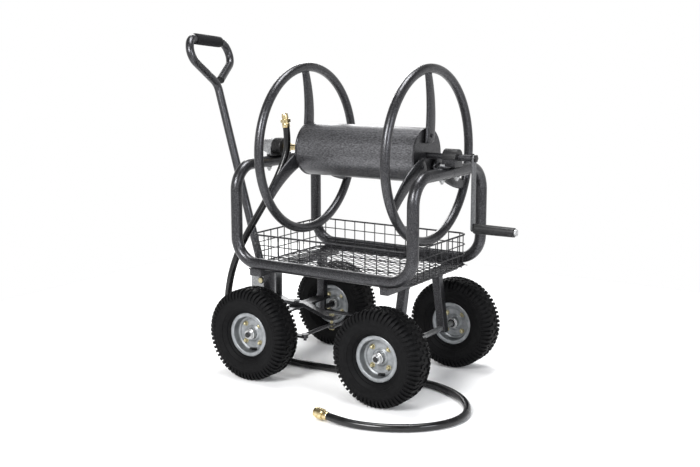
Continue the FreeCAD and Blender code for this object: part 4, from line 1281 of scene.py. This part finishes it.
@dataclass
class Reel:
    """Leaf spokes and bolts; rings, drum and end plates are the CAD nodes."""

    thickness: float = 13.0
    ring_radius: float = 231.4
    angles: tuple[float, ...] = (90.0, 210.0, 330.0)
    stations: tuple[tuple[float, float, float], ...] = ((231.4, 16.0, 26.0), (132.7, -4.0, 40.0),
                                                        (34.0, 3.0, 46.0))
    bolt_reach: float = 54.0
    squareness: float = 0.8

    def between(self, reach: float, which: int) -> float:
        """A station's value at a reach, from the curve through the three stations.

        Args:
            reach: distance from the axis, in millimetres.
            which: 1 for the offset, 2 for the width.

        Returns:
            The value there, in millimetres.
        """
        total = 0.0
        for index, station in enumerate(self.stations):
            weight = 1.0
            for other, second in enumerate(self.stations):
                if other != index:
                    weight *= (reach - second[0]) / (station[0] - second[0])
            total += weight * station[which]
        return total

    def spoke(self, shape: Shape, x: float, z: float, angle: float) -> None:
        """One leaf-shaped spoke with a rounded, flattened section.

        Args:
            shape: the shape it joins.
            x: middle of the spoke's thickness, in metres.
            z: height of the reel's axis, in metres.
            angle: where the spoke stands, in degrees.
        """
        turn = Matrix.Rotation(math.radians(angle - 90), 3, "X")
        hub = Vector((x, 0, z))
        loops = []
        count = 24
        for step in range(25):
            share = step / 24
            reach = 34.0 + (self.ring_radius - 6 - 34.0) * share
            offset = self.between(reach, 1)
            half = self.between(reach, 2) / 2
            thick = self.thickness / 2
            if step == 0:
                half, thick, reach = half * 0.82, thick * 0.7, reach + 0.2
            if step == 1:
                reach = 37.5
            loop = []
            for place in range(count):
                turned = 2 * math.pi * place / count
                cosine, sine = math.cos(turned), math.sin(turned)
                wide = math.copysign(abs(cosine) ** self.squareness, cosine) * half
                deep = math.copysign(abs(sine) ** self.squareness, sine) * thick
                loop.append(hub + turn @ at(deep, -offset + wide, reach))
            loops.append(loop)
        shape.skin(loops)

    def build(self) -> None:
        """Build spokes, welds and bolts on both rings."""
        bolts = Shape()
        for word, outward in (("front", -1), ("rear", 1)):
            centre = middle("ring_" + word)
            spokes = Shape()
            beads = Shape()
            for angle in self.angles:
                self.spoke(spokes, centre.x, centre.z, angle)
                turn = Matrix.Rotation(math.radians(angle - 90), 3, "X")
                foot = centre + turn @ at(0, -self.between(218.5, 1), 218.6)
                route = []
                for step in range(28):
                    around = 2 * math.pi * step / 28
                    dip = 1.6 * math.cos(2 * around)
                    ripple = at(6.6 * math.sin(around), 12.4 * math.cos(around), dip)
                    route.append(foot + turn @ ripple)
                beads.tube(route, mm(1.5), 8, joined=True)
                base = centre + turn @ at(outward * self.thickness * 0.49, 0, self.bolt_reach)
                bolts.bolt(base, X_AXIS * outward, mm(5.4), mm(4.0))
            spokes.build("leaf_spokes_" + word, "reel", "hammered_paint",
                         ["spokes_" + word], sharp=60)
            beads.build("spoke_welds_" + word, "reel", "hammered_paint")
        bolts.build("spoke_hex_bolts", "reel", "hammered_paint", ["spoke_bolts"])
        low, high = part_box("drum_shell")
        centre = (low + high) / 2
        seam = Shape()
        radius = (high.z - low.z) / 2
        rand = random.Random(7)
        out = Vector((0, math.cos(2.2), math.sin(2.2)))
        start = Vector((low.x, centre.y, centre.z)) + out * (radius - mm(0.3))
        route = [start + X_AXIS * (high.x - low.x) * step / 90 for step in range(91)]
        sizes = [mm(1.0 + 0.5 * rand.random()) for _ in route]
        seam.tube(route, lambda share: sizes[round(share * 90)], 8)
        seam.build("drum_weld_seam", "reel", "hammered_paint", finish=RolledSteelCoat())
        lips = Shape()
        for x in (low.x + mm(0.6), high.x - mm(0.6)):
            ring = circle(Vector((x, centre.y, centre.z)), Y_AXIS, Z_AXIS, radius + mm(0.4), 96)
            lips.tube(ring, mm(1.4), 8, joined=True)
        lips.build("drum_rolled_lips", "reel", "hammered_paint")


@dataclass
class Bearings:
    """Front collar with the water swivel, and the rear bearing block with its cap."""

    collar: float = 25.5
    swivel: float = 21.0
    inlet: float = 13.4
    bore: float = 8.0
    neck: float = 11.0
    inlet_start: float = 28.0
    inlet_setback: float = 22.5
    foot: float = 5.0
    thread_pitch: float = 2.2

    def collar_piece(self) -> None:
        """Moulded collar: ribbed ring on a foot with rounded ends."""
        low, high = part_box("swivel_bearing")
        bar_top = low.z
        axis_z = middle("ring_front").z
        length = high.x - low.x
        base = Vector((low.x, 0, axis_z))
        shape = Shape()
        ring = mm(self.collar)
        profile = [(0, ring - mm(2.2)), (mm(0.8), ring - mm(0.6)), (mm(2.2), ring)]
        for groove in (8, 14, 20, 26):
            profile += [(mm(groove - 1), ring), (mm(groove - 0.6), ring - mm(1)),
                        (mm(groove + 0.6), ring - mm(1)), (mm(groove + 1), ring)]
        profile += [(length - mm(2.2), ring), (length - mm(0.8), ring - mm(0.6)),
                    (length, ring - mm(2.2)), (length, mm(9.2)), (0, mm(9.2))]
        shape.lathe(profile, base, X_AXIS, 64, closed=True)
        shape.build("front_collar_ring", "root", "black_plastic", ["swivel_bearing"])
        foot = Shape()
        half = (high.y - low.y) / 2
        width = mm(32 - 9.5)
        corners = [Vector((x, y, bar_top)) for x, y in
                   ((low.x, -half), (low.x + width, -half), (low.x + width, half), (low.x, half))]
        foot.plate(rounded_outline(corners, mm(8)), Z_AXIS * mm(self.foot))
        foot.build("front_collar_foot", "root", "black_plastic", bevel=mm(0.8))

    def swivel_piece(self) -> None:
        """Cast swivel with a stepped body and a threaded side inlet, on its saddle."""
        low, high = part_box("swivel_body")
        axis_z = (low.z + high.z) / 2
        base = Vector((high.x, 0, axis_z))
        body = mm(self.swivel)
        profile = [(0, mm(self.bore)), (0, body - mm(1)), (mm(1), body), (mm(10), body),
                   (mm(11), body - mm(1.4)), (mm(14), body - mm(1.4)), (mm(15), body),
                   (mm(33), body),
                   (mm(36), body - mm(1.4)), (mm(38), body - mm(4.5)), (mm(38), mm(0.5)),
                   (mm(24), mm(0.5)), (mm(24), mm(self.bore))]
        swivel = Shape().lathe(profile, base, -X_AXIS, 64, closed=True)
        start, end = mm(self.inlet_start), high.y
        stub = [(mm(18), mm(self.bore)), (mm(18), mm(self.neck)), (start, mm(self.neck)),
                (start, mm(self.inlet - 1.3))]
        along = start + mm(1)
        while along < end - mm(self.thread_pitch):
            stub += [(along, mm(self.inlet - 1.3)),
                     (along + mm(self.thread_pitch / 2), mm(self.inlet))]
            along += mm(self.thread_pitch)
        stub += [(end - mm(0.6), mm(self.inlet - 1.6)), (end, mm(self.inlet - 2.2)),
                 (end, mm(self.bore))]
        swivel.lathe(stub, base - X_AXIS * mm(self.inlet_setback), Y_AXIS, 64, closed=True)
        swivel.build("swivel_casting", "root", "cast_zinc", ["swivel_body"], sharp=28)
        low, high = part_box("swivel_bracket")
        outline = [Vector((low.x, low.y, low.z)), Vector((low.x, high.y, low.z)),
                   Vector((low.x, high.y, high.z))]
        room = body + mm(0.05)
        reach = math.acos(min(1.0, max(-1.0, (axis_z - high.z) / room)))
        for step in range(13):
            turn = reach * (1 - step / 6)
            outline.append(Vector((low.x, room * math.sin(turn), axis_z - room * math.cos(turn))))
        outline.append(Vector((low.x, low.y, high.z)))
        saddle = Shape().plate(outline, X_AXIS * (high.x - low.x))
        saddle.build("swivel_saddle", "root", "cast_zinc", ["swivel_bracket"], bevel=mm(1.2),
                     segments=3)

    def rear_piece(self) -> None:
        """Metal block with its foot, under a moulded cap with side flanges."""
        low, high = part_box("rear_bearing")
        axis_z = high.z
        half = (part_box("rear_bearing_cap")[1].y)
        block = Shape()
        block.box((low.x, -half, low.z), (high.x, half, axis_z - mm(0.2)))
        block.build("rear_bearing_block", "root", "hammered_paint", ["rear_bearing"], bevel=mm(1.6),
                    segments=3)
        foot = Shape()
        width = mm(29)
        corners = [Vector((x, y, low.z)) for x, y in
                   ((low.x, low.y), (low.x + width, low.y), (low.x + width, high.y),
                     (low.x, high.y))]
        foot.plate(rounded_outline(corners, mm(7)), Z_AXIS * mm(self.foot))
        foot.build("rear_bearing_foot", "root", "hammered_paint", bevel=mm(0.8))
        low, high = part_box("rear_bearing_cap")
        radius = high.z - low.z
        outline = [Vector((low.x, radius * math.cos(math.pi * step / 24),
                           low.z + radius * math.sin(math.pi * step / 24))) for step in range(25)]
        outline += [Vector((low.x, -half - mm(5), low.z)),
                    Vector((low.x, -half - mm(5), low.z - mm(4))),
                    Vector((low.x, half + mm(5), low.z - mm(4))),
                    Vector((low.x, half + mm(5), low.z))]
        cap = Shape().plate(outline, X_AXIS * (high.x - low.x))
        cap.build("rear_bearing_arch", "root", "black_plastic", ["rear_bearing_cap"], bevel=mm(1.0),
                  segments=3)

    def build(self) -> None:
        """Build both bearings."""
        self.collar_piece()
        self.swivel_piece()
        self.rear_piece()


@dataclass
class Crank:
    """Flat arm with eased edges and a moulded grip that turns on its spindle."""

    half_width: float = 9.0
    throw: float = 185.0
    grip_radius: float = 13.5

    def build(self) -> None:
        """Build the arm, its washers and the grip."""
        low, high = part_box("crank_arm")
        axis_z = middle("ring_front").z
        half = mm(self.half_width)
        outline = []
        for centre, start in ((axis_z, 0.0), (axis_z - mm(self.throw), math.pi)):
            for step in range(17):
                turn = start + math.pi * step / 16
                outline.append(Vector((low.x, half * math.cos(turn),
                                       centre + half * math.sin(turn))))
        arm = Shape().plate(outline, X_AXIS * (high.x - low.x))
        arm.build("crank_bar", "reel", "zinc_steel", ["crank_arm"], bevel=mm(0.9), segments=3,
                  finish=BlastedSteel())
        washer = Shape().lathe([(0, mm(9)), (0, mm(12.5)), (mm(1.6), mm(12.5)), (mm(1.6), mm(9))],
                               Vector((low.x - mm(1.7), 0, axis_z)), X_AXIS, 40, closed=True)
        washer.hexagon(Vector((high.x, 0, axis_z)), X_AXIS, mm(10.5), mm(5))
        washer.build("crank_washer_and_nut", "reel", "zinc_steel", finish=MouldedPlastic())
        low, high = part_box("crank_grip")
        base = Vector((low.x, 0, axis_z - mm(self.throw)))
        ring = self.grip_radius
        length = (high.x - low.x) * 1000
        profile = [(0, 5.1), (0, ring - 2.5), (0.8, ring - 1.0), (2.4, ring - 0.1), (6, ring)]
        profile += [(length - 6, ring - 0.9), (length - 2.4, ring - 1.0),
                    (length - 0.8, ring - 1.2),
                    (length, ring - 2.6), (length, 5.1)]
        grip = Shape().lathe([(mm(a), mm(r)) for a, r in profile], base, X_AXIS, 56, closed=True)
        grip.build("crank_grip_sleeve", "crank_grip", "black_plastic", ["crank_grip"], sharp=50)


# ---- hose ---------------------------------------------------------------------------------------


@dataclass
class SupplyHose:
    """Loose hose that leans on the water pipe, drops past the front hoop and lies on the floor."""

    radius: float = 10.0
    length: float = 1984.2
    nut: float = 14.5
    bore: float = 6.5
    route: tuple[tuple[float, float, float], ...] = (
        (-168, -47, 699), (-165.5, -42, 652), (-170, -56, 602), (-182, -80, 548), (-205, -97, 491),
        (-236, -107, 437), (-264, -118, 386), (-285, -132, 335), (-300, -142, 281),
        (-311, -145, 228),
        (-320, -142, 176), (-327, -136, 126), (-322, -125, 77), (-297, -107, 36), (-255, -86, 13),
        (-208, -66, 10), (-159, -52, 10), (-95, -54, 10), (-23, -50, 10), (69, -38, 10),
        (165, -20, 10), (253, -12, 10), (334, -24, 10), (407, -62, 10), (460, -118, 10),
        (487, -186, 10), (477, -256, 10), (433, -319, 10), (367, -364, 10), (295, -386, 10),
        (246, -390.5, 12), (206, -388.5, 15.5))

    def coupling(self, name: str, node_name: str, start: Vector, out: Vector,
                 profile: Sequence[tuple[float, float]], nut_at: tuple[float, float] | None
                 ) -> bpy.types.Object:
        """A turned brass coupling.

        Args:
            name: the piece's name.
            node_name: the CAD node that it stands for.
            start: the hose's end.
            out: the way the coupling points.
            profile: points of (along, radius) in millimetres.
            nut_at: where a hexagonal nut stands, as start and height, if there is one.

        Returns:
            The object.
        """
        shape = Shape().lathe([(mm(a), mm(r)) for a, r in profile], start, out, 40, closed=True)
        if nut_at:
            shape.hexagon(start + out * mm(nut_at[0]), out, mm(self.nut), mm(nut_at[1]), 0.08)
        return shape.build(name, "root", "brass", [node_name], sharp=30)

    def build(self) -> None:
        """Build the hose as a curve and its two couplings."""
        data = bpy.data.curves.new("supply_hose", "CURVE")
        data.dimensions = "3D"
        data.bevel_depth = mm(self.radius)
        data.bevel_resolution = 8
        data.resolution_u = 10
        data.use_fill_caps = True
        line = data.splines.new("NURBS")
        line.points.add(len(self.route) - 1)
        for knot, (x, y, z) in zip(line.points, self.route):
            knot.co = (mm(x), mm(y), mm(z), 1)
        line.order_u = 3
        line.use_endpoint_u = True
        data.materials.append(HoseRubber().build())
        hose = bpy.data.objects.new("supply_hose", data)
        bpy.context.scene.collection.objects.link(hose)
        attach(hose, "root")
        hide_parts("hose")
        points = [at(*point) for point in self.route]
        upper = self.coupling(
            "hose_tail_fitting", "hose_coupling_upper", points[0],
            (points[0] - points[1]).normalized(),
            [(0.2, self.bore), (0.2, 10.9), (1, 11.2), (10, 11.2), (11, 10.6), (13.6, 10.4),
             (14, 12.6), (24, 12.6), (24.4, 9.8), (30, 9.4), (38, 8.6), (40, 7.6), (40, self.bore)],
            (14.2, 9.6))
        low_profile = [(0.2, self.bore), (0.2, 10.9), (1, 11.2), (12, 11.2), (13.6, 10.6)]
        low_profile += [(14, 13.4), (15, 14.5), (31, 14.5), (32, 13.2), (38, 13.0), (40, 12.2),
                        (40, 9.5), (34, 9.2), (34, self.bore)]
        lower = self.coupling("hose_nut_fitting", "hose_coupling_lower", points[-1],
                              (points[-1] - points[-2]).normalized(), low_profile, None)


# ---- what the CAD nodes are finished with -------------------------------------------------------


@dataclass(frozen=True)
class RolledSteelCoat(HammeredPowderCoat):
    """The coat on the drum's rolled sheet, with streaks along the drum from the rolling."""

    name: str = "rolled_drum_coat"
    colour: str = "#3D3D3F"
    second: str = "#78787B"
    roughness: float = 0.36
    grain_mm: float = 1.9
    depth_mm: float = 0.12

    def dress(self, tree: Tree, shader: Node, place: Socket) -> None:
        """Streaks stretched along X over fine dimples.

        Args:
            tree: the node tree.
            shader: the surface shader.
            place: where on the piece.
        """
        stretched = add_node(tree, "Mapping", {"Scale": (0.3, 1.0, 1.0)}, {"Vector": place})
        streak = add_node(tree, "TexNoise", {"Scale": 1 / mm(self.grain_mm), "Detail": 5.0},
                          {"Vector": stretched.outputs["Vector"]})
        dimple = add_node(tree, "TexVoronoi", {"Scale": 1 / mm(self.grain_mm)}, {"Vector": place})
        self.colour_mix(tree, shader, streak.outputs["Fac"], 0.32, 0.78)
        self.rough_range(tree, shader, streak.outputs["Fac"], 0.12)
        self.relief(tree, shader, dimple.outputs["Distance"], 0.35)


@dataclass(frozen=True)
class BlastedSteel(PlatedZinc):
    """Zinc plate over blasted flat bar: grey, slightly grainy."""

    name: str = "plated_flat_bar"
    colour: str = "#58595B"
    second: str = "#77787A"
    roughness: float = 0.4
    grain_mm: float = 2.2
    depth_mm: float = 0.08


NODE_FINISHES = {"drum_shell": RolledSteelCoat(), "tongue_bolts": YellowZinc(),
                 "knuckle_near": HammeredPowderCoat(), "knuckle_far": HammeredPowderCoat()}


def finish_nodes() -> None:
    """Give every CAD node that still shows the finish of its slot, or its own."""
    slots = {row["node"]: row["material_slot"] for row in frame["record"]["subparts"]}
    for name, node in frame["nodes"].items():
        if node.hide_render:
            continue
        finish = NODE_FINISHES.get(name, FINISH_OF_SLOT[slots[name]])
        node.data.materials.clear()
        node.data.materials.append(finish.build())
        LOG.info("CAD node %s keeps its shape and gets %s", name, finish.name)


# ---- studio -------------------------------------------------------------------------------------


class LightKind(Enum):
    """The lamps of the studio: name, place, size, power and colour."""

    KEY = ("key_softbox", (0.2, -3.6, 2.6), 1.2, 190.0, "#FFFFFF")
    FILL = ("fill_softbox", (3.4, -1.2, 1.8), 1.2, 60.0, "#F6F9FF")
    TOP = ("top_softbox", (0.0, 0.3, 3.2), 1.3, 90.0, "#FFFFFF")
    BACK = ("back_softbox", (-2.4, 2.6, 2.0), 1.6, 50.0, "#FFFFFF")


@dataclass
class Studio:
    """Paper sweep, soft lamps, sky and camera."""

    floor_half: float = 1.5
    sky: float = 1.0
    tones: str = "Standard"
    zenith: str = "#707070"
    fade: tuple[float, float] = (0.2, 0.6)
    camera_place: tuple[float, float, float] = (1.5803, -2.3959, 0.9198)
    camera_target: tuple[float, float, float] = (0.025, 0.0, 0.450)
    lens: float = 52.5
    shift: tuple[float, float] = (-0.0026, -0.0238)

    def build(self) -> None:
        """Build floor, lamps, sky and camera."""
        half = self.floor_half
        data = bpy.data.meshes.new("studio_floor")
        data.from_pydata([(-half, -half, -0.0008), (half, -half, -0.0008), (half, half, -0.0008),
                          (-half, half, -0.0008)], [], [(0, 1, 2, 3)])
        floor = bpy.data.objects.new("studio_floor", data)
        bpy.context.scene.collection.objects.link(floor)
        data.materials.append(StudioPaper().build())
        for kind in LightKind:
            self.lamp(*kind.value)
        world = bpy.data.worlds.new("studio_sky")
        world.use_nodes = True
        background = world.node_tree.nodes["Background"]
        background.inputs["Strength"].default_value = self.sky
        place = add_node(world.node_tree, "TexCoord").outputs["Generated"]
        height = add_node(world.node_tree, "SeparateXYZ", links={0: place}).outputs["Z"]
        fade = add_node(world.node_tree, "ValToRGB", links={"Fac": height})
        fade.color_ramp.elements[0].position, fade.color_ramp.elements[1].position = self.fade
        fade.color_ramp.elements[0].color = linear("#FFFFFF")
        fade.color_ramp.elements[1].color = linear(self.zenith)
        world.node_tree.links.new(fade.outputs["Color"], background.inputs["Color"])
        bpy.context.scene.world = world
        bpy.context.scene.view_settings.view_transform = self.tones
        self.camera()

    def lamp(self, name: str, place: Point, size: float, power: float, colour: str) -> None:
        """A square softbox that faces the cart.

        Args:
            name: the lamp's name.
            place: where it stands, in metres.
            size: its side, in metres.
            power: its power, in watts.
            colour: its sRGB colour.
        """
        data = bpy.data.lights.new(name, "AREA")
        data.energy = power
        data.size = size
        data.color = linear(colour)[:3]
        lamp = bpy.data.objects.new(name, data)
        lamp.location = place
        aim = Vector(self.camera_target) - Vector(place)
        lamp.rotation_euler = aim.to_track_quat("-Z", "Y").to_euler()
        bpy.context.scene.collection.objects.link(lamp)

    def camera(self) -> None:
        """The camera, with no depth of field."""
        data = bpy.data.cameras.new("camera")
        data.lens = self.lens
        data.sensor_width = 36
        data.shift_x, data.shift_y = self.shift
        camera = bpy.data.objects.new("camera", data)
        camera.location = self.camera_place
        aim = Vector(self.camera_target) - Vector(self.camera_place)
        camera.rotation_euler = aim.to_track_quat("-Z", "Y").to_euler()
        bpy.context.scene.collection.objects.link(camera)
        bpy.context.scene.camera = camera


def main() -> None:
    """Build the sub-assemblies in order, then the finishes and the studio."""
    logging.basicConfig(level=logging.INFO, format="%(name)s: %(message)s")
    TubeFrame().build()
    Undercarriage().build()
    Basket().build()
    for axle in ("front", "rear"):
        for side in ("near", "far"):
            Wheel().build(axle, side)
    Steering().build()
    PullHandle().build()
    Reel().build()
    Bearings().build()
    Crank().build()
    SupplyHose().build()
    finish_nodes()
    Studio().build()


if __name__ == "__main__":
    main()
